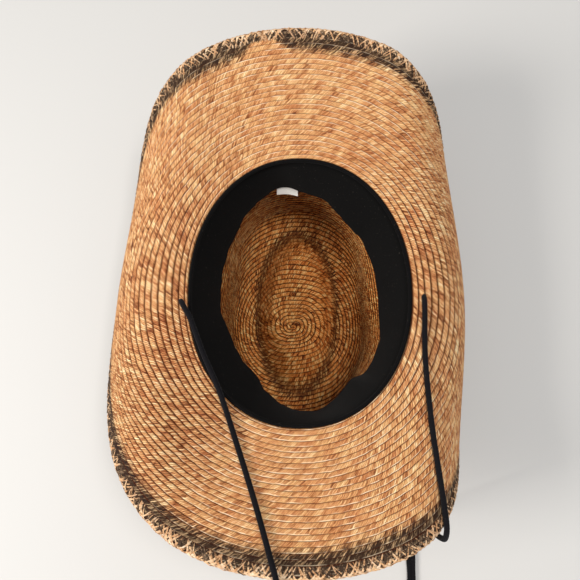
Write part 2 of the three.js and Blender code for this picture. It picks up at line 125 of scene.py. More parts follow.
class SoftLight(NamedTuple):
    """A square light: its place and side in metres, its power in watts and its colour."""

    name: str
    place: tuple[float, float, float]
    side: float
    power: float
    colour: tuple[float, float, float]


ROLL_STARTS = (
    RollStart(-1.0, 0.74, 0.80),
    RollStart(-0.6, 0.90, 1.08),
    RollStart(0.0, 1.06, 1.10),
    RollStart(0.6, 0.91, 0.91),
    RollStart(1.0, 0.73, 0.86),
)

WALL_DENTS = (
    WallDent(1, 0.26, 0.08, 0.38, 0.42, 0.24),
    WallDent(-1, 0.26, 0.20, 0.38, 0.42, 0.24),
    WallDent(1, 0.22, -0.62, 0.36, 0.24, 0.26),
    WallDent(-1, 0.34, -0.56, 0.36, 0.26, 0.26),
)

BAND_LEANS = (
    BandLean(0, 0.54),
    BandLean(30, 0.60),
    BandLean(58, 0.60),
    BandLean(76, 0.46),
    BandLean(90, 0.34),
    BandLean(101, 0.18),
    BandLean(112, 0.28),
    BandLean(133, 0.46),
    BandLean(180, 0.57),
    BandLean(213, 0.70),
    BandLean(234, 0.74),
    BandLean(247, 0.58),
    BandLean(259, 0.40),
    BandLean(275, 0.32),
    BandLean(294, 0.42),
    BandLean(306, 0.54),
    BandLean(318, 0.40),
    BandLean(340, 0.46),
)

SCORCHES = (
    Scorch(0, 0.006),
    Scorch(40, 0.007),
    Scorch(58, 0.013),
    Scorch(75, 0.0145),
    Scorch(92, 0.013),
    Scorch(99, 0.002),
    Scorch(105, 0.0135),
    Scorch(118, 0.014),
    Scorch(132, 0.010),
    Scorch(160, 0.008),
    Scorch(200, 0.012),
    Scorch(220, 0.015),
    Scorch(243, 0.015),
    Scorch(262, 0.015),
    Scorch(288, 0.0165),
    Scorch(303, 0.015),
    Scorch(318, 0.011),
    Scorch(340, 0.007),
)

ROW_SWELLS = (
    Wave(3, 0.4, 1, 7),
    Wave(5, 2.1, 1 / 2, 10),
    Wave(8, 4.0, 1 / 3, 13),
    Wave(13, 1.2, 1 / 4, 16),
    Wave(37, 2.9, 1 / 5, 19),
    Wave(61, 5.1, 1 / 6, 22),
    Wave(89, 0.0, 0.35, 41),
)

BAND_FOLDS = (
    Wave(7, 0.3, 1.0, 1.3),
    Wave(12, 1.9, 0.6, 1.3),
    Wave(19, 4.1, 0.45, 1.3),
    Wave(31, 2.6, 0.3, 1.3),
)

LIGHTS = (
    SoftLight("key", (-1.35, -0.40, 1.10), 0.6, 26.0, (1.0, 0.97, 0.93)),
    SoftLight("overhead", (0.40, -0.05, 1.90), 0.6, 18.0, (1.0, 0.98, 0.96)),
)

# The chin cord's route about the head's axis, in metres, from the left knot to the right one.
CORD_POINTS = (
    (-0.0934, -0.0066, 0.1164),
    (-0.0900, -0.0122, 0.1220),
    (-0.0844, -0.0214, 0.1240),
    (-0.0722, -0.0510, 0.1252),
    (-0.0602, -0.0764, 0.1270),
    (-0.0456, -0.1158, 0.1306),
    (-0.0319, -0.1545, 0.1368),
    (-0.0186, -0.1950, 0.1466),
    (-0.0162, -0.2024, 0.1479),
    (-0.0144, -0.2080, 0.1448),
    (-0.0135, -0.2104, 0.1380),
    (-0.0132, -0.2108, 0.1250),
    (-0.0128, -0.2102, 0.0160),
    (-0.0114, -0.2098, 0.0066),
    (-0.0066, -0.2090, 0.0028),
    (0.0020, -0.2082, 0.0022),
    (0.0360, -0.2040, 0.0021),
    (0.0800, -0.2026, 0.0021),
    (0.0920, -0.2076, 0.0021),
    (0.0974, -0.2190, 0.0021),
    (0.0976, -0.2460, 0.0021),
    (0.0928, -0.2680, 0.0021),
    (0.0952, -0.2742, 0.0021),
    (0.1010, -0.2766, 0.0021),
    (0.1068, -0.2742, 0.0021),
    (0.1092, -0.2680, 0.0021),
    (0.1024, -0.2460, 0.0021),
    (0.1022, -0.2150, 0.0021),
    (0.1018, -0.1960, 0.0022),
    (0.1015, -0.1874, 0.0030),
    (0.1013, -0.1834, 0.0070),
    (0.1013, -0.1824, 0.0160),
    (0.1016, -0.1820, 0.1120),
    (0.1018, -0.1800, 0.1224),
    (0.1016, -0.1726, 0.1290),
    (0.1006, -0.1580, 0.1294),
    (0.0954, -0.1029, 0.1267),
    (0.0936, -0.0520, 0.1236),
    (0.0954, -0.0096, 0.1222),
    (0.0960, -0.0028, 0.1160),
)


class Lean(Enum):
    """Which way a lacing strand slants as it leaves the brim's face."""

    FORWARD = 1
    BACKWARD = -1


class SocketKind(Enum):
    """The kinds of socket that an effect's group takes."""

    VALUE = "NodeSocketFloat"
    VECTOR = "NodeSocketVector"


def signed_power(value: np.ndarray, power: float) -> np.ndarray:
    """Signed power, which turns a circle into a squarer oval.

    Args:
        value: numbers from -1 to 1.
        power: the exponent for their sizes.

    Returns:
        The powers with the signs kept.
    """
    return np.sign(value) * np.abs(value) ** power


def smooth_step(low: float, high: float, value: np.ndarray) -> np.ndarray:
    """Smooth step from 0 to 1 between two limits.

    Args:
        low: where it leaves 0.
        high: where it reaches 1.
        value: the places to work it out at.

    Returns:
        The step's height at each place.
    """
    share = np.clip((value - low) / (high - low), 0, 1)
    return share * share * (3 - 2 * share)


def cubic(
    start: np.ndarray, leave: np.ndarray, end: np.ndarray, arrive: np.ndarray, share: np.ndarray
) -> np.ndarray:
    """Smooth cubic between two values.

    Args:
        start: the values at share 0.
        leave: the slopes there.
        end: the values at share 1.
        arrive: the slopes there.
        share: how far along each place is.

    Returns:
        The value at each place.
    """
    square = share * share
    cube = square * share
    return (
        start * (2 * cube - 3 * square + 1)
        + leave * (cube - 2 * square + share)
        + end * (3 * square - 2 * cube)
        + arrive * (cube - square)
    )


def through_rows(
    keys: tuple[float, ...], heights: tuple[float, ...], at: np.ndarray, period: float = 0.0
) -> np.ndarray:
    """Smooth cubic through the rows of a table.

    Args:
        keys: the rows' places, rising.
        heights: the rows' values.
        at: the places to read it at, inside one period if it has one.
        period: the length after which the table repeats, or 0.

    Returns:
        The value at each place.
    """
    if period:
        places = np.array([keys[-2] - period, keys[-1] - period, *keys, keys[0] + period, keys[1] + period])
        values = np.array([*heights[-2:], *heights, *heights[:2]])
    else:
        places = np.array([keys[0], *keys, keys[-1]], float)
        values = np.array([heights[0], *heights, heights[-1]], float)
    slopes = np.zeros_like(values)
    slopes[1:-1] = (values[2:] - values[:-2]) / (places[2:] - places[:-2])
    start = np.clip(np.searchsorted(places[1:-1], at, side="right"), 1, len(places) - 3)
    end = start + 1
    width = places[end] - places[start]
    share = np.clip((at - places[start]) / width, 0, 1)
    return cubic(values[start], slopes[start] * width, values[end], slopes[end] * width, share)


def round_head(table: tuple[BandLean | Scorch, ...], angle: np.ndarray) -> np.ndarray:
    """Values of a table of degrees and values, read smoothly at angles around the head."""
    degrees, values = zip(*table)
    return through_rows(degrees, values, np.degrees(angle) % DEGREES_ROUND, DEGREES_ROUND)


def rippled(waves: tuple[Wave, ...], share: np.ndarray, angle: np.ndarray) -> np.ndarray:
    """Sum of waves around the head at shares of the way outward and angles."""
    return sum(wave.size * np.sin(wave.turns * angle + wave.phase + wave.slant * share) for wave in waves)


def unit(vectors: np.ndarray) -> np.ndarray:
    """Vectors of length 1 along the given ones."""
    return vectors / np.maximum(np.linalg.norm(vectors, axis=-1, keepdims=True), 1e-12)


@dataclass(frozen=True)
class WallLine:
    """The line of one side of the crown, from the tip's middle over the ridge and up to the opening."""

    tip_reach: float
    ridge_reach: float
    shoulder: float
    rim_reach: float
    rim_height: float
    most_turn: float = 0.6 * math.pi
    halvings: int = 40

    def turn(self) -> float:
        """Finds how far the shoulder turns before the straight wall.

        Returns:
            The turn in radians.
        """
        low, high = 0.0, self.most_turn
        for _ in range(self.halvings):
            turn = (low + high) / 2
            rise = self.rim_height - self.shoulder * (1 - math.cos(turn))
            run = self.rim_reach - self.ridge_reach - self.shoulder * math.sin(turn)
            if run * math.sin(turn) > rise * math.cos(turn):
                high = turn
            else:
                low = turn
        return low

    def at(self, share: np.ndarray) -> tuple[np.ndarray, np.ndarray]:
        """Follows the line.

        Args:
            share: shares of its whole length.

        Returns:
            The reach from the head's axis and the height at each share.
        """
        turn = self.turn()
        arc_reach = self.ridge_reach + self.shoulder * math.sin(turn)
        arc_height = self.shoulder * (1 - math.cos(turn))
        flat = self.ridge_reach - self.tip_reach
        arc = self.shoulder * turn
        wall = math.hypot(self.rim_reach - arc_reach, self.rim_height - arc_height)
        way = share * (flat + arc + wall)
        bend = np.clip((way - flat) / self.shoulder, 0, turn)
        rest = np.clip((way - flat - arc) / wall, 0, 1)
        reach = self.tip_reach + np.minimum(way, flat) + self.shoulder * np.sin(bend)
        height = self.shoulder * (1 - np.cos(bend))
        return reach + (self.rim_reach - arc_reach) * rest, height + (self.rim_height - arc_height) * rest


@dataclass(frozen=True)
class HatForm:
    """The hat's own shape about the head's axis, in metres, as the CAD part has it."""

    straw_wall: float = 0.002
    seat_gap: float = 0.0003
    head_half_width: float = 0.087
    head_half_length: float = 0.105
    squareness: float = 2.1
    crown_height: float = 0.120
    tip_middle_x: float = -0.0055
    tip_middle_y: float = -0.016
    crease_depth: float = 0.028
    crease_half_width: float = 0.043
    crease_half_length: float = 0.088
    crease_middle_x: float = -0.001
    crease_middle_y: float = 0.003
    crease_floor_share: float = 0.45
    crease_lip_share: float = 0.93
    # The valley fields place painted shade in the valley round the crease, drawn with the scorched-edge
    # colours of the crown's straw; clean_reach is the mask's value away from it.
    valley_share: float = 0.86
    valley_spread: float = 0.21
    valley_shade: float = 1.5
    clean_reach: float = 2.2
    side_ridge_width: float = 0.0035
    back_ridge_width: float = 0.0035
    front_ridge_width: float = 0.006
    side_shoulder: float = 0.020
    back_shoulder: float = 0.011
    front_shoulder: float = 0.013
    dent_reach: float = 0.022
    bearing_flat: float = 0.0006
    brim_side_width: float = 0.099
    brim_front_width: float = 0.097
    brim_back_width: float = 0.100
    front_dip: float = 0.024
    back_dip: float = 0.032
    right_roll_radius: float = 0.046
    left_roll_radius: float = 0.060
    lace_wall: float = 0.0013
    lace_depth: float = 0.0065
    band_depth: float = 0.036
    band_wall: float = 0.0012
    welt_radius: float = 0.0015
    welt_sink: float = 0.0006

    @property
    def rim_share(self) -> float:
        """Share of the brim's width at which its sheet ends under the lacing."""
        return 1 - (self.lace_wall + self.seat_gap) / self.brim_side_width

    @property
    def rim_drop(self) -> float:
        """How far below the brim's face the crown's wall ends."""
        return self.straw_wall + self.seat_gap

    @property
    def band_top(self) -> float:
        """How far below the straw's face the sweatband starts."""
        return self.welt_sink + self.welt_radius + self.seat_gap

    def oval(self, angle: np.ndarray) -> tuple[np.ndarray, np.ndarray]:
        """Unit oval of the head opening's squareness.

        Args:
            angle: angles around the head, anticlockwise from the right.

        Returns:
            Its x and y.
        """
        power = 2 / self.squareness
        return signed_power(np.cos(angle), power), signed_power(np.sin(angle), power)

    def end_width(self, y: np.ndarray) -> np.ndarray:
        """Width of the brim at the end of the hat, back or front, that each y lies at."""
        return np.where(y > 0, self.brim_back_width, self.brim_front_width)

    def dip(self, y: np.ndarray) -> np.ndarray:
        """How much higher than at the sides the straw stands at a place along the hat."""
        rise = np.where(y > 0, self.back_dip, self.front_dip)
        return rise * (y / (self.head_half_length + self.end_width(y))) ** 2

    def brim(self, share: np.ndarray, angle: np.ndarray) -> np.ndarray:
        """Points of the brim's underside, which faces up.

        Args:
            share: 0 at the head opening and 1 at the edge.
            angle: angles around the head.

        Returns:
            The points, with x, y and z last.
        """
        x, y = self.oval(angle)
        lengthwise = self.end_width(y)
        y = (self.head_half_length + lengthwise * share) * y
        across = np.abs((self.head_half_width + self.brim_side_width * share) * x)
        along = y / (self.head_half_length + lengthwise)
        keys, rights, lefts = zip(*ROLL_STARTS)
        right = through_rows(keys, rights, along)
        left = through_rows(keys, lefts, along)
        start = self.head_half_width * np.where(x > 0, right, left)
        radius = np.where(x > 0, self.right_roll_radius, self.left_roll_radius)
        turn = np.maximum(across - start, 0) / radius
        reach = across - turn * radius + radius * np.sin(turn)
        drop = radius * (1 - np.cos(turn))
        height = self.crown_height + self.dip(y) - drop
        return np.stack(np.broadcast_arrays(np.where(x > 0, reach, -reach), y, height), -1)

    def wall_lines(self) -> dict[str, WallLine]:
        """The crown's four lines.

        Returns:
            The lines at the right, the left, the back and the front, by those names.
        """
        side_height = self.crown_height - self.rim_drop + self.bearing_flat
        half_length = self.head_half_length + self.straw_wall
        side_ridge = self.crease_half_width + self.side_ridge_width
        back_ridge = self.crease_half_length + self.crease_middle_y + self.back_ridge_width
        front_ridge = self.crease_half_length - self.crease_middle_y + self.front_ridge_width
        back_height = side_height + float(self.dip(np.array(self.head_half_length)))
        front_height = side_height + float(self.dip(np.array(-self.head_half_length)))
        side = (self.side_shoulder, self.head_half_width + self.straw_wall, side_height)
        back = (self.back_shoulder, half_length, back_height)
        front = (self.front_shoulder, half_length, front_height)
        return {
            "right": WallLine(self.tip_middle_x, side_ridge + self.crease_middle_x, *side),
            "left": WallLine(-self.tip_middle_x, side_ridge - self.crease_middle_x, *side),
            "back": WallLine(self.tip_middle_y, back_ridge, *back),
            "front": WallLine(-self.tip_middle_y, front_ridge, *front),
        }

    def crease_share(self, x: np.ndarray, y: np.ndarray) -> np.ndarray:
        """How far places lie from the crease's middle.

        Args:
            x: their x.
            y: their y.

        Returns:
            The distance of each, with 1 at the crease's edge.
        """
        across = (x - self.crease_middle_x) / self.crease_half_width
        along = (y - self.crease_middle_y) / self.crease_half_length
        return np.hypot(across, along)

    def crease_lift(self, x: np.ndarray, y: np.ndarray) -> np.ndarray:
        """How far the centre crease lifts the tip off the surface."""
        edge = smooth_step(self.crease_floor_share, self.crease_lip_share, self.crease_share(x, y))
        return self.crease_depth * (1 - edge)

    def valley_shade_reach(self, share: np.ndarray, angle: np.ndarray) -> np.ndarray:
        """How far places of the crown lie from the painted shade in the valley round its crease, in widths
        of the scorched-edge mask that paints it.

        Args:
            share: 0 at the tip's middle and 1 at the opening.
            angle: angles around the head.

        Returns:
            The distance at each place.
        """
        points = self.crown(share, angle)
        from_valley = self.crease_share(points[..., 0], points[..., 1]) - self.valley_share
        return self.clean_reach - self.valley_shade * np.exp(-((from_valley / self.valley_spread) ** 2))

    def dent_push(self, x: np.ndarray, y: np.ndarray, z: np.ndarray) -> np.ndarray:
        """How far the wall dents push points of the crown's wall sideways.

        Args:
            x: their x.
            y: their y.
            z: their height.

        Returns:
            What to add to each x.
        """
        push = np.zeros_like(x)
        for dent in WALL_DENTS:
            along = (y - dent.along * self.head_half_length) / (dent.spread_along * self.head_half_length)
            height = (z - dent.height * self.crown_height) / (dent.spread_height * self.crown_height)
            side = smooth_step(0, self.dent_reach, x * dent.side)
            push -= dent.side * side * dent.depth * self.crease_depth * np.exp(-along**2 - height**2)
        return push

    def crown(self, share: np.ndarray, angle: np.ndarray) -> np.ndarray:
        """Points of the crown's outer face.

        Args:
            share: 0 at the tip's middle and 1 at the opening.
            angle: angles around the head.

        Returns:
            The points, with x, y and z last.
        """
        oval_x, oval_y = self.oval(angle)
        reach, height = {}, {}
        for side, line in self.wall_lines().items():
            reach[side], height[side] = line.at(share)
        across = np.where(oval_x > 0, reach["right"], reach["left"])
        across_height = np.where(oval_x > 0, height["right"], height["left"])
        along = np.where(oval_y > 0, reach["back"], reach["front"])
        along_height = np.where(oval_y > 0, height["back"], height["front"])
        middle_x = self.tip_middle_x * (1 - share)
        middle_y = self.tip_middle_y * (1 - share)
        x = middle_x + (across - np.sign(oval_x) * middle_x) * oval_x
        y = middle_y + (along - np.sign(oval_y) * middle_y) * oval_y
        wall = across_height * (1 - oval_y**2) + along_height * oval_y**2
        lift = np.where(share < 1, self.crease_lift(x, y), 0)
        z = np.maximum(wall + lift - self.bearing_flat, 0)
        return np.stack(np.broadcast_arrays(x + self.dent_push(x, y, wall), y, z), -1)

    def opening(self, angle: np.ndarray, inset: np.ndarray, below: np.ndarray) -> np.ndarray:
        """Points just inside the head opening.

        Args:
            angle: angles around the head.
            inset: distances in from the opening's edge.
            below: distances below the straw's face.

        Returns:
            The points, with x, y and z last.
        """
        x, y = self.oval(angle)
        height = self.crown_height + self.dip(self.head_half_length * y) - below
        across = (self.head_half_width - inset) * x
        along = (self.head_half_length - inset) * y
        return np.stack(np.broadcast_arrays(across, along, height), -1)

    def band_lean(self, angle: np.ndarray) -> np.ndarray:
        """How far the sweatband's deep edge leans in at each angle."""
        return self.band_depth * round_head(BAND_LEANS, angle)


def normals_of(surface: Surface, share: np.ndarray, angle: np.ndarray) -> np.ndarray:
    """Unit normals of one of the form's surfaces, on the side that faces the head or the sky.

    Args:
        surface: the surface.
        share: shares of the way outward.
        angle: angles around the head.

    Returns:
        The normals, with x, y and z last.
    """
    step = 1e-3
    along = surface(share + step, angle) - surface(np.maximum(share - step, 0), angle)
    held = np.maximum(share, step)
    across = surface(held, angle + step) - surface(held, angle - step)
    return unit(np.cross(along, across))


class Mesher:
    """Gathers grids of points into one mesh with its texture layers, and makes the object."""

    def __init__(self, name: str, layers: tuple[str, ...]) -> None:
        """Starts an empty mesh.

        Args:
            name: the piece's name.
            layers: the names of its texture layers.
        """
        self.name = name
        self.layers = layers
        self.points: list[np.ndarray] = []
        self.faces: list[np.ndarray] = []
        self.places: list[list[np.ndarray]] = [[] for _ in layers]
        self.count = 0

    def grid(
        self, points: np.ndarray, places: list[np.ndarray], flip: bool = False, closed: bool = False
    ) -> None:
        """Adds one or many grids of four-sided faces.

        Args:
            points: rows by columns of points, or many such grids.
            places: for each texture layer, its two numbers at each point.
            flip: turns the faces over.
            closed: joins the last row to the first.
        """
        if points.ndim == 3:
            points = points[None]
            places = [place[None] for place in places]
        many, rows, columns = points.shape[:3]
        index = np.arange(many * rows * columns).reshape(many, rows, columns) + self.count
        if closed:
            index = np.concatenate([index, index[:, :1]], axis=1)
        low, high = index[:, :-1], index[:, 1:]
        quads = np.stack([low[..., :-1], low[..., 1:], high[..., 1:], high[..., :-1]], -1)
        if flip:
            quads = quads[..., ::-1]
        self.faces.append(quads.reshape(-1, 4))
        self.points.append(points.reshape(-1, 3))
        for kept, place in zip(self.places, places):
            kept.append(np.broadcast_to(place, (many, rows, columns, 2)).reshape(-1, 2))
        self.count += points.size // 3

    def make(self, axis: Vector, weld: float = 1e-6, sharp: float = math.radians(55)) -> bpy.types.Object:
        """Makes the object in the row frame.

        Args:
            axis: the head's axis, which the points are measured from.
            weld: points closer than this become one.
            sharp: edges that turn more than this stay crisp.

        Returns:
            The new object, in the scene.
        """
        points = np.concatenate(self.points) + np.array(axis)
        faces = np.concatenate(self.faces)
        mesh = bpy.data.meshes.new(self.name)
        mesh.vertices.add(len(points))
        mesh.vertices.foreach_set("co", points.astype(np.float32).ravel())
        mesh.loops.add(faces.size)
        mesh.loops.foreach_set("vertex_index", faces.astype(np.int32).ravel())
        mesh.polygons.add(len(faces))
        mesh.polygons.foreach_set("loop_start", np.arange(0, faces.size, 4, dtype=np.int32))
        mesh.update(calc_edges=True)
        for layer, kept in zip(self.layers, self.places):
            values = np.concatenate(kept)[faces.ravel()]
            mesh.uv_layers.new(name=layer).data.foreach_set("uv", values.astype(np.float32).ravel())
        shape = bmesh.new()
        shape.from_mesh(mesh)
        bmesh.ops.remove_doubles(shape, verts=shape.verts, dist=weld)
        bmesh.ops.dissolve_degenerate(shape, edges=shape.edges, dist=weld)
        shape.to_mesh(mesh)
        shape.free()
        mesh.polygons.foreach_set("use_smooth", np.ones(len(mesh.polygons), bool))
        mesh.set_sharp_from_angle(angle=sharp)
        made = bpy.data.objects.new(self.name, mesh)
        bpy.context.scene.collection.objects.link(made)
        return made


def dress(piece: bpy.types.Object, material: bpy.types.Material) -> None:
    """Gives a piece its material and slot, lets it ride on the part and reports it.

    Args:
        piece: the piece.
        material: its material.
    """
    piece.data.materials.append(material)
    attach(piece, "root")
    log.info("%s: %d faces", piece.name, len(piece.data.polygons))


def shade(red: float, green: float, blue: float) -> Colour:
    """Linear colour from the numbers that a colour picker shows.

    Args:
        red: its red, from 0 to 255.
        green: its green.
        blue: its blue.

    Returns:
        Its linear red, green and blue, and a 1.
    """
    parts = [part / 255 for part in (red, green, blue)]
    linear = [part / 12.92 if part <= 0.04045 else ((part + 0.055) / 1.055) ** 2.4 for part in parts]
    return (*linear, 1.0)


class Desk:
    """Places and links the nodes of one shader tree."""

    def __init__(self, tree: bpy.types.NodeTree) -> None:
        """Takes a tree to work on."""
        self.tree = tree

    def put(self, kind: str, *inputs: Feed, **settings: object) -> Node:
        """Adds a node.

        Args:
            kind: the node's type.
            inputs: values or sockets for its inputs in order, with None to leave one.
            settings: its options.

        Returns:
            The node.
        """
        node = self.tree.nodes.new(kind)
        for option, value in settings.items():
            setattr(node, option, value)
        for socket, value in zip(node.inputs, inputs):
            self.feed(socket, value)
        return node

    def feed(self, socket: Socket, value: Feed) -> None:
        """Links a socket to another, or sets its value.

        Args:
            socket: the socket to feed.
            value: what it gets, with None to leave it.
        """
        if isinstance(value, Socket):
            self.tree.links.new(value, socket)
        elif value is not None:
            socket.default_value = value

    def feed_named(self, node: Node, values: dict[str, Feed]) -> None:
        """Feeds a node's inputs by their names, written with _ for a space."""
        for label, value in values.items():
            self.feed(node.inputs[label.replace("_", " ")], value)

    def math(self, operation: str, *values: Feed, clamp: bool = False) -> Socket:
        """One sum on values or sockets, held within 0 to 1 if clamp is set."""
        return self.put("ShaderNodeMath", *values, operation=operation, use_clamp=clamp).outputs[0]

    def times(self, first: Feed, second: Feed, plus: Feed = 0.0, clamp: bool = False) -> Socket:
        """First times second plus a third."""
        return self.math("MULTIPLY_ADD", first, second, plus, clamp=clamp)

    def rest_of(self, value: Feed) -> Socket:
        """What a value leaves of 1."""
        return self.math("SUBTRACT", 1.0, value, clamp=True)

    def spread(self, value: Feed, gain: float) -> Socket:
        """Stretches a value away from a half, within 0 to 1."""
        return self.times(value, gain, 0.5 - gain / 2, clamp=True)

    def mix(self, factor: Feed, first: Feed, second: Feed, blend: str = "MIX") -> Socket:
        """Mixes two colours.

        Args:
            factor: how much of the second there is.
            first: the first colour.
            second: the second colour.
            blend: how the second meets the first.

        Returns:
            The mixed colour.
        """
        node = self.put("ShaderNodeMix", data_type="RGBA", blend_type=blend)
        for index, value in ((0, factor), (6, first), (7, second)):
            self.feed(node.inputs[index], value)
        return node.outputs[2]

    def between(self, value: Feed, low: Feed, high: Feed, course: str = "SMOOTHSTEP") -> Socket:
        """Step from 0 at low to 1 at high."""
        node = self.put("ShaderNodeMapRange", value, low, high, 0.0, 1.0, interpolation_type=course)
        return node.outputs[0]

    def ramp(self, value: Feed, stops: tuple[float, ...], colours: tuple[Colour, ...]) -> Socket:
        """Colours along a value.

        Args:
            value: the socket to read.
            stops: places from 0 to 1.
            colours: the colour at each place.

        Returns:
            The colour socket.
        """
        node = self.put("ShaderNodeValToRGB", value)
        elements = node.color_ramp.elements
        while len(elements) < len(stops):
            elements.new(1.0)
        for element, place, colour in zip(elements, stops, colours):
            element.position = place
            element.color = colour
        return node.outputs[0]

    def noise(self, vector: Feed, scale: float, detail: float = 2.0) -> Socket:
        """Soft noise around a half."""
        return self.put("ShaderNodeTexNoise", vector, None, scale, detail).outputs[0]

    def place(self, x: Feed, y: Feed, z: Feed = 0.0) -> Socket:
        """A place from its three numbers."""
        return self.put("ShaderNodeCombineXYZ", x, y, z).outputs[0]

    def parts(self, vector: Feed) -> list[Socket]:
        """The first two numbers of a place."""
        return self.put("ShaderNodeSeparateXYZ", vector).outputs[:2]

    def layer(self, name: str) -> Socket:
        """A texture layer of the piece."""
        return self.put("ShaderNodeUVMap", uv_map=name).outputs[0]

    def chance(self, x: Feed, y: Feed) -> Socket:
        """A random number from 0 to 1 for each cell."""
        return self.put("ShaderNodeTexWhiteNoise", self.place(x, y)).outputs[0]

    def surface(self, colour: Feed, roughness: Feed, relief: Feed, bump: Bump, **settings: float) -> None:
        """Puts the shader, its bump and the output.

        Args:
            colour: its base colour.
            roughness: its roughness.
            relief: the height that the bump reads.
            bump: the bump's strength and its depth in metres.
            settings: plain values for the shader's other inputs.
        """
        bumped = self.put("ShaderNodeBump", *bump)
        self.feed(bumped.inputs["Height"], relief)
        shader = self.put("ShaderNodeBsdfPrincipled")
        inputs = {"Base_Color": colour, "Roughness": roughness, "Normal": bumped.outputs[0]}
        self.feed_named(shader, inputs | settings)
        self.put("ShaderNodeOutputMaterial", shader.outputs[0])


def bare_material(name: str) -> tuple[bpy.types.Material, Desk]:
    """Makes a material with an empty tree.

    Args:
        name: its name.

    Returns:
        The material and a desk for its tree.
    """
    made = bpy.data.materials.new(name)
    made.use_nodes = True
    made.node_tree.nodes.clear()
    return made, Desk(made.node_tree)


class Effect:
    """A shader node group with named inputs and outputs."""

    def __init__(self, name: str, takes: dict[str, SocketKind], gives: tuple[str, ...]) -> None:
        """Starts a group.

        Args:
            name: its name.
            takes: its inputs and their kinds.
            gives: its outputs, which are all values.
        """
        self.tree = bpy.data.node_groups.new(name, "ShaderNodeTree")
        for label, kind in takes.items():
            self.tree.interface.new_socket(name=label, in_out="INPUT", socket_type=kind.value)
        for label in gives:
            self.tree.interface.new_socket(name=label, in_out="OUTPUT", socket_type=SocketKind.VALUE.value)
        self.desk = Desk(self.tree)
        self.takes = self.tree.nodes.new("NodeGroupInput").outputs
        self.gives = self.tree.nodes.new("NodeGroupOutput").inputs

    def give(self, label: str, value: Socket) -> None:
        """Links one of the group's outputs."""
        self.desk.feed(self.gives[label], value)

    def place(self, desk: Desk, **values: Feed) -> bpy.types.NodeOutputs:
        """Puts the group in a material.

        Args:
            desk: the material's desk.
            values: values or sockets for its inputs.

        Returns:
            The group node's outputs.
        """
        node = desk.put("ShaderNodeGroup", node_tree=self.tree)
        desk.feed_named(node, values)
        return node.outputs


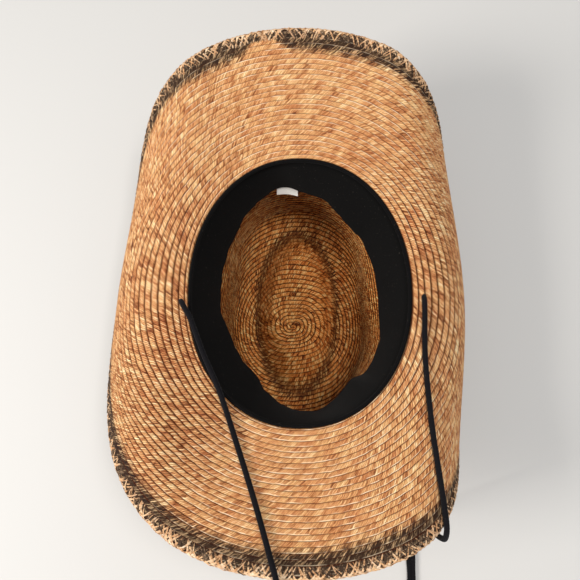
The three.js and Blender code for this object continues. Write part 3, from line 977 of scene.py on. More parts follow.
@dataclass(frozen=True)
class BraidEffect:
    """The plait of a sewn straw row: its slanted strands, painted shade in the groove beside it and
    across it, and its thread with a painted highlight.

    Rows holds millimetres along the braid, then the row's number with its fraction, 0 at the row's
    tucked edge and 1 at its raised edge. Sidelight is a painted light mask that says how strongly light
    rakes the rows. A field of two numbers that follows it holds what a fully raked row adds and what
    an unraked one has. Limits are where a change starts and where it is whole.
    """

    row_step: float = 9.0
    waver_scale: float = 0.3
    waver: float = 2.4
    strand_roundness: float = 0.7
    patch_row_step: float = 7.31
    patch_gain: float = 3.0
    hue_level: float = 40.0
    hue_scale: float = 0.8
    fibre_row_step: float = 11.0
    fibre_run: float = 0.22
    fibre_scale: float = 1.35
    fibre_gain: float = 2.9
    patch_share: float = 0.20
    strand_share: float = 0.32
    fibre_share: float = 0.48
    contrast: tuple[float, float] = (0.45, 0.65)
    middle_tone: float = 0.47
    fibre_fray: float = 0.55
    strand_fray: float = 0.45
    wobble_scale: float = 0.5
    wobble: float = 0.10
    groove_inner: tuple[float, float] = (0.04, 0.03)
    groove_outer: tuple[float, float] = (0.19, 0.15)
    raised_start: tuple[float, float] = (-0.10, 0.97)
    raised_end: float = 0.985
    groove_shade_strength: tuple[float, float] = (0.35, 0.65)
    break_scale: float = 0.12
    least_unbroken: float = 0.42
    round_shade_middle: float = 0.58
    thread_middle: float = 0.92
    thread_limits: Limits = (0.04, 0.11)
    sewn_scale: float = 0.11
    sewn_limits: Limits = (0.40, 0.66)

    def build(self) -> Effect:
        """Builds the group.

        Returns:
            The effect.
        """
        values = ("Row Width", "Strand Width", "Slant", "Patch Length", "Sidelight")
        gives = ("Relief", "Tone", "Hue", "Fray", "Groove Shade", "Round Shade", "Thread")
        takes = {"Rows": SocketKind.VECTOR} | dict.fromkeys(values, SocketKind.VALUE)
        effect = Effect("sewn straw rows", takes, gives)
        desk = effect.desk
        along, rows = desk.parts(effect.takes["Rows"])
        row, fraction = desk.math("FLOOR", rows), desk.math("FRACT", rows)
        across = desk.times(fraction, effect.takes["Row Width"])
        place = desk.place(along, desk.times(row, self.row_step), across)
        waver = desk.times(desk.noise(place, self.waver_scale), self.waver, along)
        slanted = desk.times(across, effect.takes["Slant"], waver)
        lane = desk.math("DIVIDE", slanted, effect.takes["Strand Width"])
        side = desk.math("FRACT", lane)
        hump = desk.times(desk.times(side, desk.rest_of(side)), 4.0)
        effect.give("Relief", desk.math("POWER", hump, self.strand_roundness))
        fibre_place = desk.place(
            slanted, desk.times(across, self.fibre_run), desk.times(row, self.fibre_row_step)
        )
        self.tint(effect, row, desk.math("FLOOR", lane), fibre_place)
        self.sew(effect, fraction, place)
        return effect

    def tint(self, effect: Effect, row: Socket, cell: Socket, fibre_place: Socket) -> None:
        """Gives the tone, hue and fray of the strands.

        Args:
            effect: the group.
            row: the row's number.
            cell: the strand's number.
            fibre_place: the place along and across the fibres.
        """
        desk = effect.desk
        way = desk.times(cell, effect.takes["Strand Width"])
        middle = desk.math("DIVIDE", way, effect.takes["Patch Length"])
        patch_row = desk.times(row, self.patch_row_step)
        patch = desk.spread(desk.noise(desk.place(middle, patch_row), 1.0, 1.0), self.patch_gain)
        strand = desk.chance(cell, row)
        fibre = desk.spread(desk.noise(fibre_place, self.fibre_scale), self.fibre_gain)
        tone = desk.times(patch, self.patch_share, desk.times(strand, self.strand_share))
        tone = desk.math("SUBTRACT", desk.times(fibre, self.fibre_share, tone), 0.5)
        # The tone's contrast grows with the painted side light.
        contrast = desk.times(effect.takes["Sidelight"], *self.contrast)
        effect.give("Tone", desk.times(tone, contrast, self.middle_tone))
        hue = desk.noise(desk.place(middle, patch_row, self.hue_level), self.hue_scale, 1.0)
        effect.give("Hue", desk.spread(hue, self.patch_gain))
        effect.give("Fray", desk.times(fibre, self.fibre_fray, desk.times(strand, self.strand_fray)))

    def sew(self, effect: Effect, fraction: Socket, place: Socket) -> None:
        """Gives the painted shade of the groove beside the row and of the rounding across it, and its
        thread with a painted highlight.

        Args:
            effect: the group.
            fraction: the place across the row.
            place: the place along and across the rows.
        """
        desk = effect.desk
        opening = effect.takes["Sidelight"]
        wobble = desk.times(desk.noise(place, self.wobble_scale), self.wobble, -self.wobble / 2)
        level = desk.math("ADD", fraction, wobble)
        inner = desk.times(opening, *self.groove_inner)
        outer = desk.times(opening, *self.groove_outer)
        # Painted shade at the tucked edge, in the groove under the next row's raised edge.
        tucked = desk.rest_of(desk.between(level, inner, outer))
        # Painted shade on the step where the raised edge drops away from the light.
        raised = desk.between(level, desk.times(opening, *self.raised_start), self.raised_end, "LINEAR")
        unbroken = desk.math("ADD", desk.noise(place, self.break_scale, 1.0), self.least_unbroken)
        # The groove's painted shade grows with the painted side light.
        strength = desk.times(desk.times(opening, *self.groove_shade_strength), unbroken)
        strength = desk.math("MINIMUM", strength, 1.0)
        effect.give("Groove Shade", desk.times(desk.math("MAXIMUM", tucked, raised), strength))
        # Painted shade that rounds each row: darker towards both edges, scaled by the painted side light.
        from_middle = desk.math("ABSOLUTE", desk.times(fraction, 2.0, -2 * self.round_shade_middle))
        effect.give("Round Shade", desk.times(desk.math("POWER", from_middle, 2.0), opening))
        # The pale thread line is the sewn thread and a painted highlight on the raised edge, which fades
        # where the side light rakes.
        line = desk.math("ABSOLUTE", desk.math("SUBTRACT", level, self.thread_middle))
        stitch = desk.rest_of(desk.between(line, *self.thread_limits))
        sewn = desk.between(desk.noise(place, self.sewn_scale, 3.0), *self.sewn_limits)
        closed = desk.rest_of(desk.math("POWER", opening, 2.0))
        effect.give("Thread", desk.times(desk.times(stitch, sewn), closed))


def cloth_effect() -> Effect:
    """A fine ribbed weave, in threads along and across the cloth.

    Returns:
        The effect.
    """
    takes = {"Place": SocketKind.VECTOR, "Rib Width": SocketKind.VALUE, "Thread Width": SocketKind.VALUE}
    effect = Effect("ribbed weave", takes, ("Relief", "Tone"))
    desk = effect.desk
    across, along = desk.parts(effect.takes["Place"])
    rib = desk.math("DIVIDE", across, effect.takes["Rib Width"])
    thread = desk.math("DIVIDE", along, effect.takes["Thread Width"])
    stitch = desk.times(desk.math("MODULO", desk.math("FLOOR", rib), 2.0), 0.5, thread)
    wave = desk.math("ABSOLUTE", desk.math("SINE", desk.times(rib, math.pi)))
    beads = desk.math("ABSOLUTE", desk.math("SINE", desk.times(stitch, math.pi)))
    effect.give("Relief", desk.times(wave, desk.times(beads, 0.5, 0.5)))
    effect.give("Tone", desk.chance(desk.math("FLOOR", rib), desk.math("FLOOR", stitch)))
    return effect


def dust_effect(
    speck_scale: float = 900.0, speck_limits: Limits = (0.68, 0.76),
    cloud_scale: float = 22.0, cloud_limits: Limits = (0.3, 0.7),
) -> Effect:
    """Pale specks of dust and lint, and a broad soft unevenness.

    Args:
        speck_scale: how many specks there are to a metre.
        speck_limits: where a speck starts and where it is whole.
        cloud_scale: how many clouds there are to a metre.
        cloud_limits: where a cloud starts and where it is whole.

    Returns:
        The effect.
    """
    effect = Effect("dust and lint", {"Amount": SocketKind.VALUE}, ("Specks", "Cloud"))
    desk = effect.desk
    place = desk.put("ShaderNodeTexCoord").outputs["Object"]
    specks = desk.between(desk.noise(place, speck_scale, 3.0), *speck_limits)
    effect.give("Specks", desk.times(specks, effect.takes["Amount"]))
    effect.give("Cloud", desk.between(desk.noise(place, cloud_scale, 3.0), *cloud_limits))
    return effect


@dataclass(frozen=True)
class Effects:
    """The effects that the finishes share."""

    braid: Effect
    cloth: Effect
    dust: Effect


@dataclass(frozen=True)
class StrawFinish:
    """Sewn palm straw: its tones, the width of its rows and strands, its scorched edge, and painted shade
    and highlights on its rows and in the crown's crease valley.

    Widths are in millimetres. Limits are where a change starts and where it is whole.
    """

    name: str
    row_width: float
    strand_width: float = 1.6
    slant: float = 1.0
    patch_length: float = 9.0
    deep: Colour = shade(118, 68, 34)
    warm: Colour = shade(190, 126, 76)
    middle: Colour = shade(222, 166, 110)
    golden: Colour = shade(240, 192, 130)
    pale: Colour = shade(255, 232, 182)
    pink: Colour = shade(226, 172, 150)
    # groove: painted shade in the groove between rows.
    groove: Colour = shade(76, 28, 6)
    # thread: the sewn thread, with a painted highlight on the raised edge.
    thread: Colour = shade(255, 232, 196)
    # The scorched-edge colours and amounts also paint shade in the crown's crease valley.
    scorch_and_shade: Colour = shade(30, 20, 14)
    scorched_and_shaded_tip: Colour = shade(170, 138, 102)
    tone_stops: tuple[float, ...] = (0.14, 0.30, 0.45, 0.59, 0.78)
    pinking: float = 0.45
    clouding: float = 0.15
    scorching_and_shading: float = 0.95
    bleaching: float = 0.0
    groove_shading: float = 0.95
    # Painted shade that rounds each row.
    round_shading: float = 0.35
    # Painted shade in the gaps between strands.
    strand_gap_shading: float = 0.85
    thread_and_highlight: float = 0.95
    bleach_limits: Limits = (1.3, 2.4)
    strand_gap_limits: Limits = (0.15, 0.85)
    scorch_and_shade_limits: Limits = (0.95, 1.55)
    char_limits: Limits = (0.50, 0.85)
    fray_reach: float = 0.5
    burnt_and_shaded_thread: float = 0.6
    thread_height: float = 0.4
    bump: float = 0.7
    bump_depth: float = 0.0006
    specular: float = 0.15
    roughness: float = 0.5
    tone_roughness: float = 0.25
    groove_roughness: float = 0.4

    def material(self, effects: Effects) -> bpy.types.Material:
        """Makes the material, which reads the layers rows and edge.

        Args:
            effects: the shared effects.

        Returns:
            The material.
        """
        made, desk = bare_material(self.name)
        # The edge layer holds the painted side-light mask, then the scorched edge's reach, which on the
        # crown paints shade in its crease's valley.
        opening, reach = desk.parts(desk.layer("edge"))
        braid = effects.braid.place(
            desk,
            Rows=desk.layer("rows"),
            Row_Width=self.row_width,
            Strand_Width=self.strand_width,
            Slant=self.slant,
            Patch_Length=self.patch_length,
            Sidelight=opening,
        )
        cloud = effects.dust.place(desk)["Cloud"]
        tones = (self.deep, self.warm, self.middle, self.golden, self.pale)
        colour = desk.ramp(braid["Tone"], self.tone_stops, tones)
        colour = desk.mix(desk.times(braid["Hue"], self.pinking), colour, self.pink, "MULTIPLY")
        colour = desk.mix(desk.times(cloud, self.clouding), colour, self.middle, "MULTIPLY")
        bleached = desk.times(desk.between(reach, *self.bleach_limits), self.bleaching)
        colour = desk.mix(bleached, colour, self.pale)
        # Painted shade in the low gaps between strands, stronger where the side light rakes.
        strand_gap_shade = desk.rest_of(desk.between(braid["Relief"], *self.strand_gap_limits))
        strand_gap_shade = desk.times(strand_gap_shade, desk.times(opening, 0.5, 0.5, clamp=True))
        colour = desk.mix(desk.times(strand_gap_shade, self.strand_gap_shading), colour, self.deep, "MULTIPLY")
        # Painted shade that rounds each row.
        colour = desk.mix(desk.times(braid["Round Shade"], self.round_shading), colour, self.deep, "MULTIPLY")
        # Scorched brim edge; on the crown the same mix paints shade in the valley round the crease.
        ragged = desk.times(braid["Fray"], self.fray_reach, reach)
        scorched = desk.rest_of(desk.between(ragged, *self.scorch_and_shade_limits))
        char_and_shade = desk.mix(desk.between(braid["Fray"], *self.char_limits), self.scorch_and_shade, self.scorched_and_shaded_tip)
        colour = desk.mix(desk.times(scorched, self.scorching_and_shading), colour, char_and_shade)
        # Painted shade in the groove between rows.
        colour = desk.mix(desk.times(braid["Groove Shade"], self.groove_shading), colour, self.groove)
        # The thread and its painted highlight, dimmed on the scorched edge and in the crown's painted
        # valley shade.
        seen = desk.times(scorched, -self.burnt_and_shaded_thread, self.thread_and_highlight)
        colour = desk.mix(desk.times(braid["Thread"], seen, clamp=True), colour, self.thread)
        roughness = desk.times(braid["Tone"], self.tone_roughness, self.roughness)
        desk.surface(
            colour,
            desk.times(braid["Groove Shade"], self.groove_roughness, roughness),
            desk.times(braid["Thread"], self.thread_height, braid["Relief"]),
            (self.bump, self.bump_depth),
            Specular_IOR_Level=self.specular,
        )
        return made


@dataclass(frozen=True)
class ClothFinish:
    """Woven cloth in two close tones, with ribs along it and lint on it."""

    name: str
    dark: Colour
    light: Colour
    rib_width: float
    thread_width: float
    lint: float = 0.2
    lint_colour: Colour = shade(150, 140, 128)
    clouding: float = 0.3
    sheen: float = 0.3
    sheen_roughness: float = 0.5
    bump: float = 0.35
    bump_depth: float = 0.0003
    specular: float = 0.12
    roughness: float = 0.85
    tone_roughness: float = 0.1

    def material(self, effects: Effects) -> bpy.types.Material:
        """Makes the material, which reads the layer weave.

        Args:
            effects: the shared effects.

        Returns:
            The material.
        """
        made, desk = bare_material(self.name)
        weave = effects.cloth.place(
            desk, Place=desk.layer("weave"), Rib_Width=self.rib_width, Thread_Width=self.thread_width
        )
        dust = effects.dust.place(desk, Amount=self.lint)
        # Half the tone follows the weave's relief, as painted shade in the dips between ribs; the other
        # half is random thread tone.
        tone = desk.times(weave["Tone"], 0.5, desk.times(weave["Relief"], 0.5))
        colour = desk.mix(tone, self.dark, self.light)
        colour = desk.mix(desk.times(dust["Cloud"], self.clouding), colour, self.light)
        desk.surface(
            desk.mix(dust["Specks"], colour, self.lint_colour),
            desk.times(weave["Tone"], self.tone_roughness, self.roughness),
            weave["Relief"],
            (self.bump, self.bump_depth),
            Sheen_Weight=self.sheen,
            Sheen_Roughness=self.sheen_roughness,
            Specular_IOR_Level=self.specular,
        )
        return made


@dataclass(frozen=True)
class SewnSpiral:
    """A spiral of straw rows sewn edge over edge, as it shows on one face.

    Its opening is a painted light mask that says how strongly light rakes the rows: fully at the sides,
    by a share at one corner, and nowhere less than a least one. The corner's place and spread are in
    degrees.
    """

    rows: int
    columns: int
    section: RowSection
    rise: float
    waver: float = 0.10
    side_stretch: float = 0.0
    end_crowding: float = 0.0
    sidelight_power: float = 1.5
    corner_angle: float = 218.0
    corner_spread: float = 26.0
    corner_sidelight: float = 0.0
    least_sidelight: float = 0.0

    def lay(self) -> tuple[np.ndarray, np.ndarray, np.ndarray, np.ndarray]:
        """Lays the rows out.

        Returns:
            For rows by samples by columns: the share of the way outward, the angle, the height, and the
            row coordinate.
        """
        angle = np.linspace(0, FULL_TURN, self.columns + 1)
        coordinate = np.arange(self.rows + 1)[:, None] + np.array(self.section.across)[None]
        share = (coordinate[..., None] - angle / FULL_TURN) / self.rows
        inside = (share > 0) & (share < 1)
        share = np.clip(share, 0, 1)
        swell = rippled(ROW_SWELLS, share, angle)
        share = share + self.waver / self.rows * swell * np.sin(math.pi * share)
        sideways = np.clip(np.abs(np.cos(angle)) * 2 - 1, 0, 1) ** 3
        share = share + self.side_stretch * sideways * (share * (1 - share)) ** 2
        share = np.clip(share, 0, 1) ** (1 + self.end_crowding * np.sin(angle) ** 2)
        height = np.where(inside, np.array(self.section.relief)[None, :, None] * self.rise, 0)
        angle = np.broadcast_to(angle, share.shape)
        return share, angle, height, np.broadcast_to(coordinate[..., None], share.shape)

    def lengths(self, surface: Surface, limit: float) -> np.ndarray:
        """Millimetres along the braid, from its outer end inward.

        Args:
            surface: the CAD face's surface.
            limit: the share at which the face ends.

        Returns:
            The length for each row and column.
        """
        angle = np.linspace(0, FULL_TURN, self.columns + 1)
        row = np.arange(self.rows + 1)[::-1]
        share = np.clip((row[:, None] + 0.5 - angle / FULL_TURN) / self.rows, 0, 1)
        points = surface(share * limit, np.broadcast_to(angle, share.shape))
        steps = np.linalg.norm(np.diff(points, axis=1), axis=2)
        ends = np.concatenate([np.zeros((len(row), 1)), np.cumsum(steps, axis=1)], axis=1)
        starts = np.concatenate([[0], np.cumsum(ends[:-1, -1])])
        return ((ends + starts[:, None]) * MILLIMETRES)[::-1]

    def face(
        self, mesher: Mesher, surface: Surface, limit: float, lift: Lift, scorch_and_shade: Surface, up: bool
    ) -> None:
        """Adds the face to a mesh.

        Args:
            mesher: the mesh to add to.
            surface: the CAD face's surface.
            limit: the share at which the face ends.
            lift: moves the points off that surface.
            scorch_and_shade: how far each place lies from the scorched edge; on the crown, from the painted
                shade in its crease's valley.
            up: whether the face looks to the side of the normals.
        """
        share, angle, height, coordinate = self.lay()
        share = share * limit
        points = lift(surface(share, angle), normals_of(surface, share, angle), height)
        length = np.broadcast_to(self.lengths(surface, limit)[:, None], share.shape)
        # opening is the painted side-light mask that the straw's finish reads.
        from_corner = (np.degrees(angle) - self.corner_angle) / self.corner_spread
        opening = np.abs(np.cos(angle)) ** self.sidelight_power
        opening = np.clip(opening + self.corner_sidelight * np.exp(-(from_corner**2)), self.least_sidelight, 1)
        layers = [np.stack([length, coordinate], -1), np.stack([opening, scorch_and_shade(share, angle)], -1)]
        mesher.grid(points, layers, flip=up)


class SewnFace(NamedTuple):
    """One face of the straw: its spiral of rows, and what moves them off the CAD surface."""

    spiral: SewnSpiral
    lift: Lift


@dataclass
class StrawBody:
    """The straw of the hat: the brim's sheet and the crown's shell, each one spiral of braid."""

    form: HatForm
    axis: Vector
    brim_rows: int = 25
    brim_columns: int = 340
    brim_stretch: float = 2.6
    crown_rows: int = 52
    crown_columns: int = 206
    crown_end_crowding: float = 0.2
    row_rise: float = 0.0009
    row_bed: float = 0.0005
    seen: RowSection = RowSection(
        (0.0, 0.10, 0.32, 0.62, 0.86, 0.965, 1.0), (0.0, 0.30, 0.62, 0.86, 1.0, 0.90, 0.0)
    )
    inside: RowSection = RowSection((0.0, 0.26, 0.60, 0.94, 1.0), (0.0, 0.55, 0.85, 1.0, 0.0))
    hidden: RowSection = RowSection((0.0, 0.08, 0.55, 1.0), (0.0, 0.95, 0.70, 0.0))

    def brim_scorch(self, share: np.ndarray, angle: np.ndarray) -> np.ndarray:
        """How many scorched widths lie between a place on the brim and its edge."""
        return (self.form.rim_share - share) * self.form.brim_side_width / round_head(SCORCHES, angle)

    def lift_brim(self, points: np.ndarray, normals: np.ndarray, height: np.ndarray) -> np.ndarray:
        """Lifts the brim's seen face, whose rows start a little under the CAD face."""
        return points + normals * (height - self.row_bed)[..., None]

    def lift_brim_back(self, points: np.ndarray, normals: np.ndarray, height: np.ndarray) -> np.ndarray:
        """Lifts the brim's other face, one straw's wall behind."""
        return points - normals * (self.form.straw_wall - self.row_bed + height)[..., None]

    def lift_crown_inside(self, points: np.ndarray, normals: np.ndarray, height: np.ndarray) -> np.ndarray:
        """Lifts the crown's inside, which stops under the brim.

        Args:
            points: points of the CAD face.
            normals: the unit normals there.
            height: heights over the face.

        Returns:
            The finished points.
        """
        form = self.form
        moved = points + normals * (form.straw_wall - self.row_bed + height)[..., None]
        rim = form.crown_height + form.dip(moved[..., 1]) - form.rim_drop
        moved[..., 2] = np.minimum(moved[..., 2], rim)
        return moved

    def lift_crown(self, points: np.ndarray, normals: np.ndarray, height: np.ndarray) -> np.ndarray:
        """Lifts the crown's outside, which stays above the floor.

        Args:
            points: points of the CAD face.
            normals: the unit normals there.
            height: heights over the face.

        Returns:
            The finished points.
        """
        moved = points - normals * (height - self.row_bed)[..., None]
        moved[..., 2] = np.maximum(moved[..., 2], 0)
        return moved

    def sew(
        self, name: str, surface: Surface, faces: tuple[SewnFace, SewnFace], scorch_and_shade: Surface,
        rims: tuple[tuple[float, bool], ...],
    ) -> bpy.types.Object:
        """Sews rows on both faces of the straw and joins them at its rims.

        Args:
            name: the piece's name.
            surface: the CAD face's surface.
            faces: the face that looks to the head or the sky, and the other one.
            scorch_and_shade: how far each place lies from the scorched edge; on the crown, from the painted
                shade in its crease's valley.
            rims: the share of each rim, the outermost last, and whether its strip turns over.

        Returns:
            The piece.
        """
        mesher = Mesher(name, STRAW_LAYERS)
        limit = rims[-1][0]
        for (spiral, lift), up in zip(faces, (False, True)):
            spiral.face(mesher, surface, limit, lift, scorch_and_shade, up)
        turn = np.linspace(0, FULL_TURN, faces[0].spiral.columns + 1)
        flat = np.broadcast_to((0.0, 0.5), (2, len(turn), 2))
        for share, flip in rims:
            place = np.full_like(turn, share)
            base, out = surface(place, turn), normals_of(surface, place, turn)
            points = np.stack([face.lift(base, out, np.zeros_like(turn)) for face in faces])
            mesher.grid(points, [flat, flat + 0.4], flip=flip)
        return mesher.make(self.axis)

    def build_brim(self) -> bpy.types.Object:
        """Builds the brim: rows on both faces, joined at the head opening and under the lacing.

        Returns:
            The piece.
        """
        # The corner and least openings shape the painted side-light mask.
        seen = SewnSpiral(
            self.brim_rows, self.brim_columns, self.seen, self.row_rise,
            side_stretch=self.brim_stretch, corner_sidelight=0.55, least_sidelight=0.2,
        )
        back = replace(seen, section=self.hidden, corner_sidelight=0.0, least_sidelight=0.6)
        faces = (SewnFace(seen, self.lift_brim), SewnFace(back, self.lift_brim_back))
        rims = ((0.0, True), (self.form.rim_share, False))
        made = self.sew("brim_braid", self.form.brim, faces, self.brim_scorch, rims)
        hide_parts("brim")
        return made

    def build_crown(self) -> bpy.types.Object:
        """Builds the crown: rows inside and outside, joined at the rim.

        Returns:
            The piece.
        """
        # The least openings set the painted side-light mask on the crown.
        inside = SewnSpiral(
            self.crown_rows, self.crown_columns, self.inside, self.row_rise,
            end_crowding=self.crown_end_crowding, least_sidelight=0.85,
        )
        outside = replace(inside, section=self.hidden, least_sidelight=0.7)
        faces = (SewnFace(inside, self.lift_crown_inside), SewnFace(outside, self.lift_crown))
        # The crown's scorched-edge mask paints shade in the valley round its crease.
        made = self.sew("crown_braid", self.form.crown, faces, self.form.valley_shade_reach, ((1.0, False),))
        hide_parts("crown")
        return made

    def build(self, effects: Effects) -> None:
        """Builds and dresses the straw.

        Args:
            effects: the shared effects.
        """
        brim_finish = StrawFinish("brim straw", row_width=4.0)
        # The crown's straw is the brim's straw darkened and warmed as painted shade of the crown's inside;
        # its scorched-edge colours paint shade in the valley round its crease.
        shaded_crown_finish = StrawFinish(
            "shaded crown straw", row_width=3.6, slant=0.7, patch_length=5.0,
            deep=shade(94, 46, 14), warm=shade(176, 100, 40),
            middle=shade(224, 144, 68), golden=shade(248, 176, 94), pale=shade(255, 226, 152),
            groove=shade(44, 18, 4), thread=shade(250, 204, 140), scorch_and_shade=shade(56, 26, 8),
            scorched_and_shaded_tip=shade(128, 74, 30), scorching_and_shading=0.75, pink=shade(220, 168, 128),
        )
        dress(self.build_brim(), brim_finish.material(effects))
        dress(self.build_crown(), shaded_crown_finish.material(effects))


@dataclass
class LacedEdge:
    """The brim's rim: a scorched core strip with straw strands laced over it.

    A field that ends in jitter is the spread of a random draw for each strand.
    """

    form: HatForm
    axis: Vector
    columns: int = 480
    core_steps: int = 26
    core_lift: float = 0.0002
    core_skin: float = 0.0001
    core_sink: float = 0.0006
    core_taper: float = 0.25
    core_radius: float = 0.2
    core_rows: int = 3
    strand_width: float = 0.0019
    strand_wall: float = 0.0004
    strand_spacing: float = 0.0026
    strand_sides: int = 6
    slant: float = 0.62
    bend: float = 0.0032
    bend_length: float = 0.0012
    lift: float = 0.00060
    weave_lift: float = 0.00030
    rim_spread: float = 0.0022
    face_width: float = 0.55
    end_width: float = 0.35
    start_jitter: float = 0.0010
    slant_jitter: float = 0.28
    wander_jitter: float = 0.0006
    lift_jitter: float = 0.00010
    rim_lift_jitter: float = 0.00025
    width_jitter: float = 0.20
    clean_reach: float = 1.9
    rim_reach: float = 1.1
    lift_taper: float = 6.0
    width_taper: float = 4.0
    number_step: float = 3.0
    forward_number: float = 100.5
    backward_number: float = 900.5
    perimeter_steps: int = 2000
    outward_step: float = 0.01
    steps: int = 15
    seed: int = 5

    @property
    def length(self) -> float:
        """Length of the lacing's section, from its end on one face round the rim to the other."""
        return 2 * self.form.lace_depth + math.pi * (self.form.straw_wall / 2 + self.form.seat_gap)

    def perimeter(self) -> tuple[np.ndarray, np.ndarray]:
        """Measures the rim.

        Returns:
            Angles around the head, and the distances along the rim that they stand at.
        """
        angle = np.linspace(0, FULL_TURN, self.perimeter_steps + 1)
        points = self.form.brim(np.full_like(angle, self.form.rim_share), angle)
        steps = np.linalg.norm(np.diff(points, axis=0), axis=1)
        return angle, np.concatenate([[0], np.cumsum(steps)])

    def section(
        self, way: np.ndarray, angle: np.ndarray, lift: np.ndarray
    ) -> tuple[np.ndarray, np.ndarray]:
        """Points of the lacing's section, from the underside round the rim to the top side.

        Args:
            way: distance along the section.
            angle: angles around the head.
            lift: height over the straw.

        Returns:
            The points and the unit normals there.
        """
        form = self.form
        leg = form.lace_depth
        half = form.straw_wall / 2
        bend = half + form.seat_gap
        turn = np.clip((way - leg) / bend, 0, math.pi)
        under = np.clip(leg - way, 0, leg)
        over = np.clip(way - leg - math.pi * bend, 0, leg)
        share = form.rim_share - (under + over) / form.brim_side_width
        face = form.brim(share, angle)
        normal = normals_of(form.brim, share, angle)
        outward = unit(face - form.brim(share - self.outward_step, angle))
        direction = normal * np.cos(turn)[..., None] + outward * np.sin(turn)[..., None]
        return face - normal * half + direction * (half + lift)[..., None], direction

    def build_core(self) -> bpy.types.Object:
        """Builds the scorched core, a thin strip folded over the rim.

        Returns:
            The piece.
        """
        way = np.linspace(0, self.length, self.core_steps)[:, None]
        angle = np.linspace(0, FULL_TURN, self.columns + 1)[None]
        way, angle = np.broadcast_arrays(way, angle)
        taper = np.sin(math.pi * np.clip(way / self.length, 0, 1)) ** self.core_taper
        outer, _ = self.section(way, angle, self.core_lift * taper + self.core_skin)
        inner, _ = self.section(way, angle, np.full_like(way, -self.core_sink))
        round_rim = angle * self.core_radius * MILLIMETRES
        place = np.stack([round_rim, way / self.length * self.core_rows], -1)
        place = np.concatenate([place, place[::-1]])
        mesher = Mesher("rim_core", STRAW_LAYERS)
        mesher.grid(np.concatenate([outer, inner[::-1]]), [place, np.zeros_like(place)], closed=True)
        return mesher.make(self.axis)

    def add_strands(self, mesher: Mesher, lean: Lean) -> int:
        """Adds the strands of one slant.

        Args:
            mesher: the mesh to add to.
            lean: which way they slant.

        Returns:
            How many there are.
        """
        draw = np.random.default_rng(self.seed + lean.value)
        angles, distances = self.perimeter()
        perimeter = distances[-1]
        count = int(perimeter / self.strand_spacing)
        each = (count, 1)
        way = np.linspace(0.0, self.length, self.steps)
        arch = np.sin(math.pi * way / self.length)
        from_rim = way[None] - self.length / 2
        near_rim = np.exp(-((from_rim / self.rim_spread) ** 2))
        start = np.arange(count)[:, None] * perimeter / count + draw.normal(0, self.start_jitter, each)
        slant = self.slant * (1 + draw.normal(0, self.slant_jitter, each))
        along = start + lean.value * (slant * from_rim + self.bend * np.tanh(from_rim / self.bend_length))
        along = along + draw.normal(0, self.wander_jitter, each) * arch
        angle = np.interp(along % perimeter, distances, angles)
        beat = FULL_TURN * self.slant * way[None] / self.strand_spacing
        lift = self.lift + lean.value * self.weave_lift * np.cos(beat)
        lift = lift * np.clip(arch * self.lift_taper, 0, 1) + draw.normal(0, self.lift_jitter, each)
        lift = lift + np.abs(draw.normal(0, self.rim_lift_jitter, each)) * near_rim
        way = np.broadcast_to(way, along.shape)
        middle, normal = self.section(way, angle, lift)
        side = unit(np.cross(unit(np.gradient(middle, axis=1)), normal))
        wide = self.strand_width / 2 * (1 + draw.normal(0, self.width_jitter, (count, 1, 1)))
        wide = wide * np.clip(arch * self.width_taper + self.end_width, 0, 1)[:, None]
        wide = wide * (self.face_width + (1 - self.face_width) * near_rim)[..., None]
        rim = np.linspace(0, FULL_TURN, self.strand_sides + 1)
        across = np.cos(rim)[:, None] * wide[:, :, None] * side[:, :, None]
        up = np.sin(rim)[:, None] * self.strand_wall / 2 * normal[:, :, None]
        points = middle[:, :, None] + across + up
        first = self.forward_number if lean is Lean.FORWARD else self.backward_number
        number = np.arange(count)[:, None, None] * self.number_step + first
        reach = draw.uniform(0.0, self.clean_reach, (count, 1, 1)) + self.rim_reach * near_rim[..., None]
        blank = np.zeros(points.shape[:3])
        rows = np.stack([way[:, :, None] * MILLIMETRES + blank, number + blank], -1)
        layers = [rows, np.stack([blank, reach + blank], -1)]
        mesher.grid(points, layers, flip=lean is Lean.FORWARD)
        return count

    def build_lacing(self) -> bpy.types.Object:
        """Builds the strands that are laced over the core.

        Returns:
            The piece.
        """
        mesher = Mesher("rim_lacing", STRAW_LAYERS)
        count = sum(self.add_strands(mesher, lean) for lean in Lean)
        log.info("%s: %d strands", mesher.name, count)
        made = mesher.make(self.axis, weld=1e-7)
        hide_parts("edge_braid")
        return made

    def build(self, effects: Effects) -> None:
        """Builds and dresses the laced edge.

        Args:
            effects: the shared effects.
        """
        core_finish = StrawFinish(
            "scorched rim", row_width=3.0, scorch_and_shade=shade(30, 22, 16), scorched_and_shaded_tip=shade(70, 54, 40),
            scorching_and_shading=0.97,
        )
        lacing_finish = StrawFinish(
            "lacing straw", row_width=1.4, slant=0.0, strand_width=60.0, patch_length=4.0, bump=0.1,
            deep=shade(124, 86, 54), warm=shade(186, 138, 92), middle=shade(226, 180, 132),
            golden=shade(246, 210, 162), pale=shade(255, 244, 220), pink=shade(240, 214, 200),
            scorch_and_shade=shade(44, 32, 24), scorched_and_shaded_tip=shade(120, 96, 74), bleaching=0.3, groove_shading=0.0,
            thread_and_highlight=0.0,
        )
        dress(self.build_core(), core_finish.material(effects))
        dress(self.build_lacing(), lacing_finish.material(effects))


